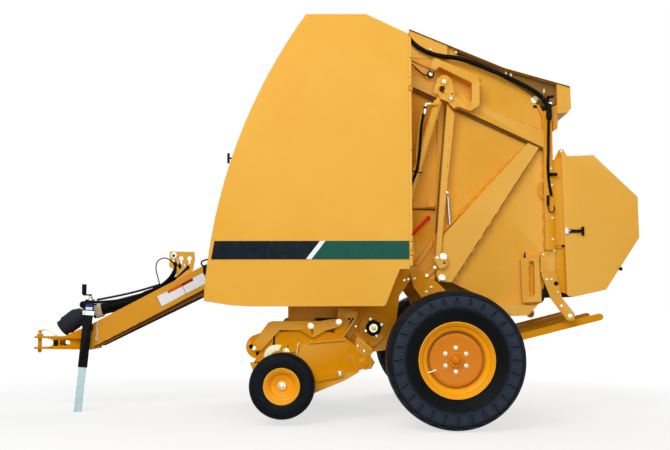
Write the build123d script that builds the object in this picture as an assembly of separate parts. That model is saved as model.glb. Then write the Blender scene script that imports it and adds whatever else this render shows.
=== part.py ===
from build123d import *
import math
import os

# Round baler, towed, parked on its jack. Millimetres.
# X runs to the machine's rear, Y to its right side, Z up from the ground.
# Places along X are taken from a datum ahead of the axle; the whole is then moved so that the
# middle of its length is at X = 0. Distances called near and far are left of the centre plane.

# Overall sizes
CHAMBER_WIDTH = 1180.0      # clear width between the front side walls
WALL = 8.0                  # side wall plate
GATE_GAP = 6.0              # running gap between front walls and the tailgate's walls
TRACK = 2050.0              # wheel centre to wheel centre
SEAT = 0.3                  # gap between two pieces that rest on each other
SHEET = 5.0                 # bent cover sheet

# Main wheels
TYRE_RADIUS = 415.0
TYRE_WIDTH = 380.0
RIM_RADIUS = 228.0
WHEEL_X = 636.0
HUB_BORE = 32.0
PIN_CLEARANCE = 0.05

# Tailgate pivot and its two cylinders
PIVOT = (330.0, 2430.0)
PIVOT_PIN = 22.0
CYLINDER_TOP = (624.0, 2196.0)
CYLINDER_FOOT = (326.0, 1226.0)
CYLINDER_PIN = 15.0
CYLINDER_OFFSET = 86.0      # from the tailgate's wall to the cylinder's axis
BARREL_RADIUS = 29.0
BARREL_START = 130.0        # from the top pin to the barrel's head
BARREL_LENGTH = 640.0       # from the top pin to the barrel's gland
ROD_RADIUS = 20.0
ROD_CLEARANCE = 0.1

# Side shields
SHIELD_REACH = 342.0        # from the front wall to the shield's face
SHIELD_DEPTH = 35.0
SHIELD_SHEET = 4.0
HINGE_PIN = 8.0

# Rollers and belts
BELT = 6.0
BELT_COUNT = 6
BELT_SPACE = 14.0
BELT_MARGIN = 8.0
ROLLER_WALL = 8.0

# Pickup
PICKUP_REACH = 142.0        # from the front wall to the pickup's side plate
PICKUP_PLATE = 6.0
PICKUP_PIVOT = (105.0, 372.0)
REEL = (-365.0, 285.0)
TINE = 6.0
TINE_REACH = 190.0
TINE_BAR = 95.0
BAR_COUNT = 4
BAND_RADIUS = 130.0
BAND_COUNT = 22
BAND_SHEET = 4.0
GAUGE_CENTRE = (-415.0, 242.0)
GAUGE_RADIUS = 204.0
GAUGE_WIDTH = 150.0
GAUGE_OFFSET = 150.0        # from the pickup's side plate to the gauge wheel's middle
GAUGE_PIN = 16.0
GUARD_PIVOT = (-66.0, 632.0)
GUARD_PIN = 14.0
GUARD_ROLLER = (-583.0, 475.0)
GUARD_ROLLER_RADIUS = 78.0

# Tongue, hitch and jack
TONGUE_HALF = 140.0
BEAM_WIDTH = 50.0
BEAM_WALL = 6.0
TONGUE_DEPTH = 152.0
HITCH_PIN = (-2235.0, 16.0)
HITCH_TIP = -2275.0
JACK_TOP = (-1826.0, 775.0)
JACK_LEAN = 5.0
JACK_TURN = 15.0
JACK_OFFSET = 45.0          # from the tongue's side to the jack's axis
JACK_TUBE = 64.0
JACK_LEG = 52.0
JACK_TUBE_LENGTH = 470.0

# Net-wrap box at the rear, bale ramp and hoses
NET_PIVOT = (1395.0, 1745.0)
NET_PIN = 8.0
REAR_TIP = 1887.0
RAMP_PIVOT = (900.0, 470.0)
RAMP_END = (1648.0, 662.0)
RAMP_PIN = 12.0
BUNDLE_RADIUS = 15.0
HOSE_RADIUS = 9.0

# Distances from the centre plane that follow
INNER = CHAMBER_WIDTH / 2
OUTER = INNER + WALL
GATE_IN = OUTER + GATE_GAP
GATE_OUT = GATE_IN + WALL
CYLINDER_Y = GATE_OUT + CYLINDER_OFFSET
EYE_HALF = ROD_RADIUS + 0.5
SHIELD_FAR = OUTER + SHIELD_REACH
ROOF_HALF = GATE_OUT + 28
COVER_HALF = GATE_OUT + 48
RAMP_HALF = INNER - 30
PICKUP_HALF = OUTER + PICKUP_REACH
GAUGE_Y = PICKUP_HALF + GAUGE_OFFSET
JACK_Y = -(TONGUE_HALF + JACK_OFFSET)
ORIGIN_X = (HITCH_TIP + REAR_TIP) / 2


def plate(points, near, far):
    """Outline in X and Z, from one distance left of the centre plane to another."""
    face = make_face(Polyline(*points, close=True))
    return extrude(Plane.XZ.offset(near) * face, far - near)


def rounded(points, radius, near, far):
    """Plate with rounded corners, of one radius or of one for each corner."""
    face = make_face(FilletPolyline(*points, radius=radius, close=True))
    return extrude(Plane.XZ.offset(near) * face, far - near)


def disc(centre, radius, near, far):
    """Round bar or disc along Y on the machine's left."""
    x, z = centre
    return Pos(x, -(near + far) / 2, z) * Rot(90, 0, 0) * Cylinder(radius, far - near)


def beam(x_low, x_high, near, far, z_low, z_high):
    """Square bar on the machine's left."""
    centre = Pos((x_low + x_high) / 2, -(near + far) / 2, (z_low + z_high) / 2)
    return centre * Box(x_high - x_low, far - near, z_high - z_low)


def link(start, end, radius, near, far):
    """Flat bar with round ends."""
    length = math.dist(start, end)
    angle = math.degrees(math.atan2(end[1] - start[1], end[0] - start[0]))
    middle = ((start[0] + end[0]) / 2, (start[1] + end[1]) / 2)
    placed = Pos(middle[0], middle[1]) * Rot(0, 0, angle) * SlotCenterToCenter(length, 2 * radius)
    return extrude(Plane.XZ.offset(near) * placed, far - near)


def ribbon(points, thickness):
    """Points of a bent sheet's section: one side as given, the other a thickness to its right."""
    normals = []
    for (x0, z0), (x1, z1) in zip(points, points[1:]):
        length = math.dist((x0, z0), (x1, z1))
        normals.append(((z1 - z0) / length, -(x1 - x0) / length))
    inner = []
    for index, (x, z) in enumerate(points):
        before = normals[max(index - 1, 0)]
        after = normals[min(index, len(normals) - 1)]
        across = (before[0] + after[0], before[1] + after[1])
        reach = thickness * 2 / (across[0] ** 2 + across[1] ** 2)
        inner.append((x + across[0] * reach, z + across[1] * reach))
    return list(points) + inner[::-1]


def sheet(points, thickness, half_width):
    """Bent sheet across the whole width."""
    return plate(ribbon(points, thickness), -half_width, half_width)


def both_sides(shape):
    """A piece and its mirror image on the right side."""
    return [shape, mirror(shape, about=Plane.XZ)]


def wrap(circles):
    """Face of the outline that a belt takes round a set of rollers."""
    edges = []
    for x, z, radius in circles:
        edges.append(Pos(x, z) * Edge.make_circle(radius))
    return make_hull(edges)


def along(start, end, place):
    """Height of a straight line between two points at a place along X."""
    share = (place - start[0]) / (end[0] - start[0])
    return start[1] + share * (end[1] - start[1])


def hose(points, radius):
    """Round tube along straight runs, joined by arcs as large as the runs allow."""
    radii = []
    for before, here, after in zip(points, points[1:], points[2:]):
        first = Vector(*here) - Vector(*before)
        second = Vector(*after) - Vector(*here)
        half_turn = math.radians(first.get_angle(second)) / 2
        radii.append(0.45 * min(first.length, second.length) / math.tan(half_turn))
    print("hose radii", [round(value) for value in radii])
    path = FilletPolyline(*points, radius=radii)
    start = Plane(origin=path @ 0, z_dir=path % 0)
    return sweep(start * Circle(radius), path=path)


nodes = {}


def keep(name, *solids):
    """File the solids of one sub-part under its name."""
    nodes[name] = list(solids)


def keep_pair(name, shape):
    """File a left piece and its mirror image as two sub-parts."""
    left, right = both_sides(shape)
    keep(name + "_left", left)
    keep(name + "_right", right)


# Front side walls, with the ribs, bearings, latch hook and leg that show behind the shield
WALL_OUTLINE = [
    (-820, 1000), (-400, 960), (-400, 640), (-80, 600), (90, 425), (235, 447), (310, 647),
    (330, 800), (400, 900), (560, 900), (585, 960), (585, 2300), (420, 2465), (250, 2530),
    (60, 2560), (-230, 2560), (-450, 2200), (-650, 1800), (-760, 1400),
]
BEARING = (159, 590)
AXLE_HALF = 50.0
LEG_NEAR = OUTER + 42
LEG_FAR = LEG_NEAR + 12
PIVOT_LINK_END = (120, 470)
LEG_OUTLINE = [
    (398, 958), (437, 954), (482, 961), (514, 914), (564, 896), (597, 865), (640, 820), (706, 470),
    (700, 350), (572, 350), (566, 470), (470, 789), (421, 855),
]
CHAIN_NEAR = OUTER + 20
DRIVE_SHAFT = (-460, 1040)
LOWER_ROLLER = (-280, 870)

wall = plate(WALL_OUTLINE, INNER, OUTER)
wall += beam(420, 560, OUTER, OUTER + 42, 1377, 1412)
wall += beam(515, 560, OUTER + 42, OUTER + 60, 1380, 1416)
wall += plate([(425, 1000), (545, 1166), (545, 1128), (455, 1000)], OUTER, OUTER + 30)
wall += rounded(LEG_OUTLINE, 6, LEG_NEAR, LEG_FAR)
wall += beam(470, 560, OUTER, LEG_NEAR, 905, 945)
wall += link((505, 930), (560, 983), 12, LEG_NEAR, LEG_FAR + 10)
wall += disc(BEARING, 83, OUTER, OUTER + 12)
wall += disc(BEARING, 42, OUTER + 12, OUTER + 30)
wall += disc(BEARING, 27, OUTER + 30, OUTER + 48)
bracket = rounded([(17, 541), (35, 567), (220, 508), (133, 449), (100, 416), (53, 425), (17, 469)], 6,
                  OUTER, OUTER + 14)
bracket += link((44, 552), (140, 465), 11, OUTER + 14, OUTER + 30)
wall += bracket - link(PICKUP_PIVOT, PIVOT_LINK_END, 30 + SEAT, OUTER, OUTER + 31)
for centre in (DRIVE_SHAFT, LOWER_ROLLER):
    wall += disc(centre, 50, OUTER, CHAIN_NEAR)
wall += disc(PIVOT, PIVOT_PIN, INNER, GATE_OUT + 12)
wall += disc(PIVOT, 48, INNER, OUTER)
wall += disc(CYLINDER_FOOT, 34, OUTER, OUTER + 40)
wall += disc(CYLINDER_FOOT, 20, OUTER + 40, CYLINDER_Y - EYE_HALF - 0.5)
keep_pair("frame_side", wall)

# Drive chain behind the left shield, from the cross shaft to the lower belt roller
SPROCKET_RADIUS = 62.0
SPROCKET_TEETH = 16
CHAIN_WIDTH = 16.0
CHAIN_DEPTH = 14.0


def sprocket(centre, near, far):
    """Toothed disc with a hub against the wall's bearing."""
    points = []
    for tooth in range(SPROCKET_TEETH):
        for share, radius in ((0.0, -7), (0.3, 6), (0.45, 6), (0.75, -7)):
            angle = math.tau * (tooth + share) / SPROCKET_TEETH
            reach = SPROCKET_RADIUS + radius
            points.append((centre[0] + reach * math.cos(angle), centre[1] + reach * math.sin(angle)))
    return plate(points, near, far) + disc(centre, 30, CHAIN_NEAR, far + 10)


chain_face = wrap([(*DRIVE_SHAFT, SPROCKET_RADIUS + 4), (*LOWER_ROLLER, SPROCKET_RADIUS + 4)])
chain_face -= offset(chain_face, -CHAIN_DEPTH)
CHAIN_AT = CHAIN_NEAR + 30
chain = extrude(Plane.XZ.offset(CHAIN_AT) * chain_face, CHAIN_WIDTH)
for centre in (DRIVE_SHAFT, LOWER_ROLLER):
    chain += sprocket(centre, CHAIN_AT + 4, CHAIN_AT + CHAIN_WIDTH - 4)
keep("drive_chain", chain)

# Axle beam between the legs, with a stub and spindle at each end
HUB_NEAR = TRACK / 2 - 120
SPINDLE_END = TRACK / 2 - 15
STUB_SHARE = 0.664          # square part of the way from the leg to the hub
STUB_END = LEG_FAR + STUB_SHARE * (HUB_NEAR - LEG_FAR)
axle = beam(WHEEL_X - AXLE_HALF, WHEEL_X + AXLE_HALF, -LEG_NEAR, LEG_NEAR,
            TYRE_RADIUS - AXLE_HALF, TYRE_RADIUS + AXLE_HALF)
stub = beam(WHEEL_X - AXLE_HALF, WHEEL_X + AXLE_HALF, LEG_FAR, STUB_END,
            TYRE_RADIUS - AXLE_HALF, TYRE_RADIUS + AXLE_HALF)
stub += disc((WHEEL_X, TYRE_RADIUS), 45, STUB_END, HUB_NEAR - 5)
stub += disc((WHEEL_X, TYRE_RADIUS), HUB_BORE, HUB_NEAR - 5, SPINDLE_END)
keep("axle_beam", axle, *both_sides(stub))

# Cross members between the walls: front box beam, lower front tube and top tube
FRONT_BEAM = (-700, -580, 1090, 1190)
CROSS_RADIUS = 38.0
x_low, x_high, z_low, z_high = FRONT_BEAM
front_beam = beam(x_low, x_high, -INNER, INNER, z_low, z_high)
front_beam -= beam(x_low + BEAM_WALL, x_high - BEAM_WALL, -INNER - 1, INNER + 1,
                   z_low + BEAM_WALL, z_high - BEAM_WALL)
keep("cross_members", front_beam,
     disc((-150, 745), CROSS_RADIUS, -INNER, INNER),
     disc((40, 2500), CROSS_RADIUS, -INNER, INNER))

# Sheet cover over the front top
keep("front_hood",
     sheet([(180, 2552), (-222, 2552), (-441, 2196), (-600, 1880)], -SHEET, INNER - SEAT))

# Rollers and belts of the front half
FRONT_ROLLERS = [(-120, 2400, 80), (*LOWER_ROLLER, 80)]
PLAIN_ROLLERS = [(*BEARING, 110), (-40, 690, 60)]
BELT_PITCH = (CHAMBER_WIDTH - 2 * BELT_MARGIN) / BELT_COUNT
BELT_WIDTH = BELT_PITCH - BELT_SPACE


def belt_set(circles):
    """Flat belts side by side round the same rollers."""
    outline = wrap(circles)
    loop = outline - offset(outline, -BELT)
    solids = []
    for index in range(BELT_COUNT):
        middle = (index - (BELT_COUNT - 1) / 2) * BELT_PITCH
        solids.append(extrude(Plane.XZ.offset(middle - BELT_WIDTH / 2) * loop, BELT_WIDTH))
    return solids


def roller_set(circles, half, inset):
    """Tubular rollers that reach from wall to wall."""
    rollers = []
    for x, z, radius in circles:
        outside = disc((x, z), radius - inset, -half, half)
        rollers.append(outside - disc((x, z), radius - inset - ROLLER_WALL, -half - 1, half + 1))
    return rollers


keep("front_rollers", *roller_set(FRONT_ROLLERS, INNER - SEAT, BELT + SEAT),
     *roller_set(PLAIN_ROLLERS, INNER - SEAT, 0))
keep("front_belts", *belt_set(FRONT_ROLLERS))

# Tongue: two hollow box beams that run up to the front beam
TONGUE_SLOPE = 0.5225
TONGUE_AT = (-1800, 532)
TONGUE_START = -1822.0
TONGUE_END = FRONT_BEAM[0]
TONGUE_RISE = TONGUE_DEPTH / 2 * math.hypot(1, TONGUE_SLOPE)


def tongue_height(x):
    """Middle of the tongue's beams at a place along it."""
    return TONGUE_AT[1] + (x - TONGUE_AT[0]) * TONGUE_SLOPE


def tongue_plate(start, end, rise, near, far):
    """Plate that follows the tongue's slope, to a height above and below its middle."""
    points = []
    for x, side in ((start, -1), (end, -1), (end, 1), (start, 1)):
        points.append((x, tongue_height(x) + side * rise))
    return plate(points, near, far)


BEAM_NEAR = TONGUE_HALF - BEAM_WIDTH
tongue_block = tongue_plate(TONGUE_START, TONGUE_END, TONGUE_RISE, BEAM_NEAR, TONGUE_HALF)
tongue_beam = tongue_block - tongue_plate(TONGUE_START - 1, TONGUE_END + 1, TONGUE_RISE - BEAM_WALL,
                                          BEAM_NEAR + BEAM_WALL, TONGUE_HALF - BEAM_WALL)
keep("tongue_beams", *both_sides(tongue_beam))
BRACE_LENGTH = 80.0
BRACE_DROP = 65.0
BRACE_HALF = 5.0
braces = []
for start in (-1500, -1300):
    points = []
    for x, side in ((start, -1), (start + BRACE_LENGTH, -1), (start + BRACE_LENGTH, 1), (start, 1)):
        points.append((x, tongue_height(x) - BRACE_DROP + side * BRACE_HALF))
    braces.append(plate(points, -BEAM_NEAR, BEAM_NEAR))
keep("tongue_braces", *braces)

# Hitch clevis: two plates, side webs, gussets and an end plate that carries the beams
HITCH_X, HITCH_RADIUS = HITCH_PIN
HITCH_LOW = (424.0, 438.0)
HITCH_HIGH = (500.0, 514.0)
HITCH_WEB = (68.0, 80.0)
END_PLATE = 14.0


def hitch_outline():
    """Plan of a hitch plate, with a round nose."""
    nose = HITCH_X - HITCH_TIP
    plan = make_face(Polyline((HITCH_X, -nose), (-2080, -90), (TONGUE_START, -TONGUE_HALF),
                              (TONGUE_START, TONGUE_HALF), (-2080, 90), (HITCH_X, nose),
                              close=True))
    return plan + Pos(HITCH_X, 0) * Circle(nose)


hitch = extrude(Pos(0, 0, HITCH_LOW[0]) * hitch_outline(), HITCH_LOW[1] - HITCH_LOW[0])
hitch += extrude(Pos(0, 0, HITCH_HIGH[0]) * hitch_outline(), HITCH_HIGH[1] - HITCH_HIGH[0])
hitch -= Pos(HITCH_X, 0, HITCH_LOW[0]) * Cylinder(HITCH_RADIUS + 0.5, 400)
web = plate([(-2150, HITCH_LOW[1]), (TONGUE_START, HITCH_LOW[1]), (TONGUE_START, HITCH_HIGH[0]),
             (-2150, HITCH_HIGH[0])], *HITCH_WEB)
web -= link((-2140, 470), (-2150, 470), 26, HITCH_WEB[0] - 1, HITCH_WEB[1] + 1)
web -= link((-2055, 470), (-2010, 470), 18, HITCH_WEB[0] - 1, HITCH_WEB[1] + 1)
gusset = plate([(-2036, HITCH_HIGH[1]), (TONGUE_START - END_PLATE, HITCH_HIGH[1]),
                (TONGUE_START - END_PLATE, 590), (-1926, 566)], *HITCH_WEB)
for side in both_sides(web + gusset):
    hitch += side
end_height = tongue_height(TONGUE_START) + TONGUE_RISE
hitch += plate([(TONGUE_START - END_PLATE, HITCH_LOW[0]), (TONGUE_START, HITCH_LOW[0]),
                (TONGUE_START, end_height), (TONGUE_START - END_PLATE, end_height)],
               -TONGUE_HALF, TONGUE_HALF)
keep("hitch", hitch)

# Hoses that lie over the tongue, from a saddle on the jack to the holder plate
HOLDER_NEAR = BEAM_NEAR + 10
HOLDER_FAR = HOLDER_NEAR + 6
FIRST_HOSE_Y = -(HOLDER_FAR + HOSE_RADIUS + SEAT)
TONGUE_HOSE_Y = (FIRST_HOSE_Y, FIRST_HOSE_Y - 2 * HOSE_RADIUS - 2)
TONGUE_HOSE_ROUTE = [
    (-1905, 752), (-1808, 759), (-1700, 764), (-1560, 782), (-1420, 836), (-1330, 880),
    (-1268, 936), (-1236, 1000),
]
keep("tongue_hoses",
     *[hose([(x, y, z) for x, z in TONGUE_HOSE_ROUTE], HOSE_RADIUS) for y in TONGUE_HOSE_Y])

# Parking jack on the tongue's left beam: fixed outer tube with its crank, and sliding leg
JACK_CAP = 8.0
jack_direction = Vector(math.sin(math.radians(JACK_LEAN)), 0, math.cos(math.radians(JACK_LEAN)))
jack_top = Vector(JACK_TOP[0], JACK_Y, JACK_TOP[1])


def jack_frame(distance):
    """Plane across the jack, at a distance below its top."""
    origin = jack_top - jack_direction * distance
    return Plane(origin=origin, x_dir=(math.cos(math.radians(JACK_LEAN)), 0,
                                       -math.sin(math.radians(JACK_LEAN))),
                 z_dir=jack_direction) * Rot(0, 0, JACK_TURN)


def jack_bar(size, top, bottom):
    """Square bar along the jack between two distances below its top."""
    return jack_frame((top + bottom) / 2) * Box(size, size, bottom - top)


tube = jack_bar(JACK_TUBE, 0, JACK_TUBE_LENGTH)
tube += jack_bar(JACK_TUBE + 12, 70, 100)
tube -= jack_bar(JACK_LEG + 2 * SEAT, JACK_CAP, JACK_TUBE_LENGTH + 5)
arm = beam(JACK_TOP[0] - 44, JACK_TOP[0] + 16, TONGUE_HALF, -JACK_Y, 560, 600)
arm += beam(JACK_TOP[0] - 4, JACK_TOP[0] + 26, -TONGUE_HOSE_Y[0] - 12, -JACK_Y,
            JACK_TOP[1] - 40, JACK_TOP[1] - 27)
arm -= jack_bar(JACK_TUBE, 0, JACK_TUBE_LENGTH)
gear_case = disc((JACK_TOP[0] - 40, JACK_TOP[1] - 34), 26, -JACK_Y - 24, -JACK_Y + 24)
gear_case -= jack_bar(JACK_TUBE, 0, JACK_TUBE_LENGTH)
crank = Pos(JACK_TOP[0] + 2, JACK_Y, JACK_TOP[1] + 15) * Cylinder(9, 30)
crank += Pos(JACK_TOP[0] - 19, JACK_Y, JACK_TOP[1] + 35) * Box(60, 16, 10)
crank += Pos(JACK_TOP[0] - 42, JACK_Y, JACK_TOP[1] + 75) * Cylinder(16, 70)
keep("jack_tube", tube + arm + gear_case + crank)
leg = jack_bar(JACK_LEG, 220, 900)
leg -= Pos(JACK_TOP[0] - 74, JACK_Y, -200) * Box(400, 400, 400)
keep("jack_leg", leg)

# Hose holder plate on the tongue, with two keyholes for hose ends
holder = rounded([(-1283, 1121), (-1107, 1117), (-1101, 1066), (-1114, 987), (-1140, 960), (-1140, 850),
                  (-1235, 850), (-1235, 985), (-1285, 1010)], 8, HOLDER_NEAR, HOLDER_FAR)
for x in (-1200, -1141):
    holder -= disc((x, 1070), 16, HOLDER_NEAR - 1, HOLDER_FAR + 1)
    holder -= beam(x - 7, x + 7, HOLDER_NEAR - 1, HOLDER_FAR + 1, 1030, 1070)
keep("hose_holder", holder - tongue_block)

# Gearbox and its input shaft, behind the front beam
DRIVE_AT = (-1737.0, 722.0)
DRIVE_SLOPE = 0.255


def drive_point(x):
    """Point of the driveline's axis at a place along the tongue."""
    return Vector(x, 0, DRIVE_AT[1] + (x - DRIVE_AT[0]) * DRIVE_SLOPE)


drive_direction = (drive_point(0) - drive_point(-1)).normalized()


def drive_bar(radius, start, end):
    """Round bar along the driveline between two places."""
    first = drive_point(start)
    last = drive_point(end)
    middle = Plane(origin=(first + last) * 0.5, z_dir=drive_direction)
    return middle * Cylinder(radius, (last - first).length)


DRIVE_END = -578.0
GEARBOX = (-560, -380, 915, 1145)
GEARBOX_HALF = 120.0
x_low, x_high, z_low, z_high = GEARBOX
gearbox = beam(x_low, x_high, -GEARBOX_HALF, GEARBOX_HALF, z_low, z_high)
gearbox += beam(x_low + 20, x_high - 20, -GEARBOX_HALF + 20, GEARBOX_HALF - 20, z_high, z_high + 15)
gearbox += drive_bar(55, DRIVE_END, x_low + 80)
gearbox += disc(DRIVE_SHAFT, 70, -GEARBOX_HALF - 20, GEARBOX_HALF + 20)
gearbox += disc(DRIVE_SHAFT, 32, -INNER, INNER)
keep("gearbox", gearbox)

# Driveline under its guard; its front joint lies folded on the hitch
DRIVE_START = -1850.0
GUARD_TUBE = 42.0
driveline = drive_bar(GUARD_TUBE, -1790, -700) + drive_bar(55, -700, DRIVE_END - SEAT)
driveline += drive_bar(GUARD_TUBE + 12, DRIVE_START, -1790)
keep("driveline", driveline)
BELL = ((30.0, -8.0), (45.0, 0.0), (68.0, 46.0), (68.0, 150.0), (60.0, 150.0), (60.0, 186.5),
        (0.0, 186.5), (0.0, -8.0))
yoke_start = Vector(-1925, 0, 680)
yoke_end = Vector(-2075, 0, 569.2)
yoke_plane = Plane(origin=yoke_start, z_dir=(yoke_end - yoke_start).normalized())
yoke = revolve(yoke_plane * Plane.XZ * make_face(Polyline(*BELL, close=True)),
               Axis(yoke_start, yoke_end - yoke_start))
KNUCKLE = 38.0
yoke += drive_bar(KNUCKLE, DRIVE_START - 75, DRIVE_START - SEAT)
keep("drive_yoke", yoke)

# Tailgate: side walls with channels, posts, stay loop and the plate that carries the cylinder
GATE_WALL = [
    (285, 2380), (270, 2440), (300, 2490), (400, 2556), (700, 2426), (812, 2336), (998, 2265),
    (1136, 2183), (1206, 2135), (1265, 2049), (1292, 1993), (1300, 1860), (1325, 1740),
    (1310, 1096), (1255, 760), (1220, 734), (1161, 672), (992, 664), (955, 753), (669, 889),
    (600, 900), (600, 2100), (404, 2190), (300, 2235),
]
LOOP = [
    (556, 2353, 8), (580, 2353, 8), (798, 2254, 20), (857, 2224, 34), (854, 2040, 30),
    (795, 2002, 18), (714, 2034, 18), (688, 2020, 10), (650, 2060, 8), (660, 2108, 8),
    (697, 2100, 8), (803, 2054, 12), (808, 2190, 16), (592, 2298, 10), (568, 2275, 6), (531, 2291, 6),
]
CRANK = [
    (582, 2222, 20), (552, 2124, 8), (582, 2112, 5), (600, 2081, 8), (665, 2056, 8), (692, 2112, 8),
    (668, 2222, 20),
]
KICKER = [
    (1249, 938), (1262, 958), (1338, 966), (1349, 940), (1381, 788), (1462, 682), (1458, 650),
    (1440, 637), (1411, 642), (1307, 785),
]
SLOTTED_BOX = [(1117, 1037), (1234, 1073), (1246, 761), (1123, 755)]
CHANNEL_FAR = GATE_OUT + 48
POST_FAR = GATE_OUT + 70
LOOP_FAR = CYLINDER_Y + EYE_HALF + 3
ROOF = [(1465, 2035), (1462, 2177), (1028, 2304), (404, 2569)]
ROOF_FLANGE = 32.0
LATCH_FAR = POST_FAR + 8


def split(table):
    """Corner points and corner radii of a table of X, Z and radius."""
    return [(x, z) for x, z, radius in table], [radius for x, z, radius in table]


def roof_height(x):
    """Underside of the roof sheets at a place along X."""
    start, end = (ROOF[1], ROOF[2]) if x > ROOF[2][0] else (ROOF[2], ROOF[3])
    return along(start, end, x)


gate = plate(GATE_WALL, GATE_IN, GATE_OUT)
gate += plate([ROOF[3], (720, roof_height(720)), (720, roof_height(720) - ROOF_FLANGE),
               (ROOF[3][0], ROOF[3][1] - ROOF_FLANGE)], GATE_IN, GATE_OUT)
gate += plate([(404, 2275), (1327, 1862), (1327, 1747), (404, 2190)], GATE_OUT, CHANNEL_FAR)
gate += plate([(1177, 1801), (1248, 1768), (1196, 1688), (987, 1375), (669, 889), (600, 889),
               (590, 1000), (616, 1196)], GATE_OUT, CHANNEL_FAR)
gate += plate([(647, 2060), (606, 1591), (561, 1040), (593, 1040), (650, 1591), (696, 1990)],
              GATE_OUT, POST_FAR)
gate += rounded([(542, 1052), (612, 1056), (641, 1033), (638, 1003), (621, 983), (584, 972)], 5,
                POST_FAR, LATCH_FAR)
gate += rounded(*split(LOOP), GATE_OUT, LOOP_FAR)
gate += beam(1279, 1338, GATE_OUT, CHANNEL_FAR, 1096, 1987)
gate += plate([(1279, 1987), (1338, 1987), (1338, 1940), (1379 - SEAT, 1951), (1379 - SEAT, 2062),
               (1279, 2012)], GATE_OUT, GATE_OUT + 20)
slotted_box = rounded(SLOTTED_BOX, 8, GATE_OUT, CHANNEL_FAR)
gate += slotted_box - link((1185, 811), (1185, 1006), 19, GATE_OUT + 10, CHANNEL_FAR + 1)
gate += plate([(1246, 950), (1250, 1082), (1345, 1110), (1345, 955)], GATE_OUT, GATE_OUT + 28)
kicker = rounded(KICKER, 6, GATE_OUT + 28, GATE_OUT + 38)
gate += kicker - disc((1378, 736), 9, GATE_OUT + 27, GATE_OUT + 39)
gate += plate([(955, 753), (1220, 734), (1161, 672), (992, 664)], GATE_OUT, GATE_OUT + 30)
gate -= disc(PIVOT, PIVOT_PIN + PIN_CLEARANCE, GATE_IN - 1, GATE_OUT + 1)
CRANK_NEAR = LOOP_FAR
CRANK_FAR = CRANK_NEAR + 10
crank_plate = rounded(*split(CRANK), CRANK_NEAR, CRANK_FAR)
crank_plate += disc(CYLINDER_TOP, 44, CRANK_NEAR, CRANK_FAR)
crank_plate -= link((596, 2150), (616, 2126), 9, CRANK_NEAR - 1, CRANK_FAR + 1)
crank_plate += disc(CYLINDER_TOP, 26, CRANK_FAR, CRANK_FAR + 4)
crank_plate += disc(CYLINDER_TOP, CYLINDER_PIN, GATE_OUT, CRANK_FAR + 10)
gate += crank_plate
keep_pair("gate_side", gate)

# Tailgate cross tubes, roof with its ribs and rear box, rollers and belts
GATE_TUBE = 30.0
keep("gate_beams",
     disc((1265, 1900), GATE_TUBE, -GATE_IN, GATE_IN),
     disc((1235, 900), GATE_TUBE, -GATE_IN, GATE_IN))
ROOF_BOX = [(1379, roof_height(1379) + 2), ROOF[1], ROOF[0], (1449, 2007), (1379, 2001)]
ROOF_BOX_HOLLOW = [(1384, 2190), (1457, 2169), (1460, 2038), (1446, 2012), (1384, 2006)]
RIB = 6.0
RIB_DEPTH = 34.0
roof = sheet(ROOF, SHEET, ROOF_HALF)
roof += plate(ROOF_BOX, -ROOF_HALF, ROOF_HALF)
roof -= plate(ROOF_BOX_HOLLOW, -(ROOF_HALF - SHEET), ROOF_HALF - SHEET)
for x in (800, 1028, 1250):
    roof += plate([(x, roof_height(x) + 2), (x + RIB, roof_height(x + RIB) + 2),
                   (x + RIB, roof_height(x) - RIB_DEPTH), (x, roof_height(x) - RIB_DEPTH)],
                  -(INNER - 20), INNER - 20)
side_panel = plate([(406, roof_height(406) + 1), (659, roof_height(659) + 1), (657, 2378), (406, 2378)],
                   ROOF_HALF - SHEET, ROOF_HALF)
for side in both_sides(side_panel):
    roof += side
keep("gate_roof", roof)
GATE_ROLLERS = [(720, 2190, 60), (1160, 1990, 60), (1215, 1140, 60), (1040, 830, 60)]
keep("gate_rollers", *roller_set(GATE_ROLLERS, GATE_IN - SEAT, BELT + SEAT))
keep("gate_belts", *belt_set(GATE_ROLLERS))

# Hoses along the left edge of the tailgate, down its rear post
HOSE_Y = -(CHANNEL_FAR + BUNDLE_RADIUS + SEAT)
BUNDLE_ROUTE = [
    (402, 2500), (450, 2448), (525, 2404), (610, 2380), (700, 2372), (800, 2344), (900, 2306),
    (1000, 2258), (1100, 2212), (1195, 2160), (1270, 2108), (1312, 2040), (1316, 1950),
]
LOWER_HOSE_ROUTE = [
    (1314, 1945), (1310, 1850), (1308, 1740), (1302, 1640), (1306, 1540), (1322, 1450),
]
keep("gate_hoses",
     hose([(x, HOSE_Y, z) for x, z in BUNDLE_ROUTE], BUNDLE_RADIUS)
     + hose([(x, HOSE_Y + BUNDLE_RADIUS - HOSE_RADIUS, z) for x, z in LOWER_HOSE_ROUTE], HOSE_RADIUS))

# Net-wrap box: fixed inner frame with a ribbed side, and hinged cover
NET_PANEL = [(1394, 1712), (1603, 1719), (1884, 1443), (REAR_TIP, 1177), (1664, 839),
             (1443, 790), (1412, 806)]
NET_FRAME = (1338, 1387, 1112, 1690)
x_low, x_high, z_low, z_high = NET_FRAME
net_frame = beam(x_low, x_high, -ROOF_HALF, ROOF_HALF, z_low, z_high)
net_frame -= beam(x_low + SHEET, x_high + 1, -ROOF_HALF + SHEET, ROOF_HALF - SHEET,
                  z_low + SHEET, z_high - SHEET)
lug = link((1362, 1680), NET_PIVOT, 16, ROOF_HALF - SHEET, ROOF_HALF + SHEET)
lug += disc(NET_PIVOT, NET_PIN, ROOF_HALF, COVER_HALF)
for x in (x_low + 10, x_low + 26):
    lug += beam(x, x + 7, ROOF_HALF, ROOF_HALF + 4, z_low + 20, z_high - 40)
for side in both_sides(lug):
    net_frame += side
keep("net_frame", net_frame)
COVER_IN = COVER_HALF - WALL
cover = plate(NET_PANEL, COVER_IN, COVER_HALF)
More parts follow.
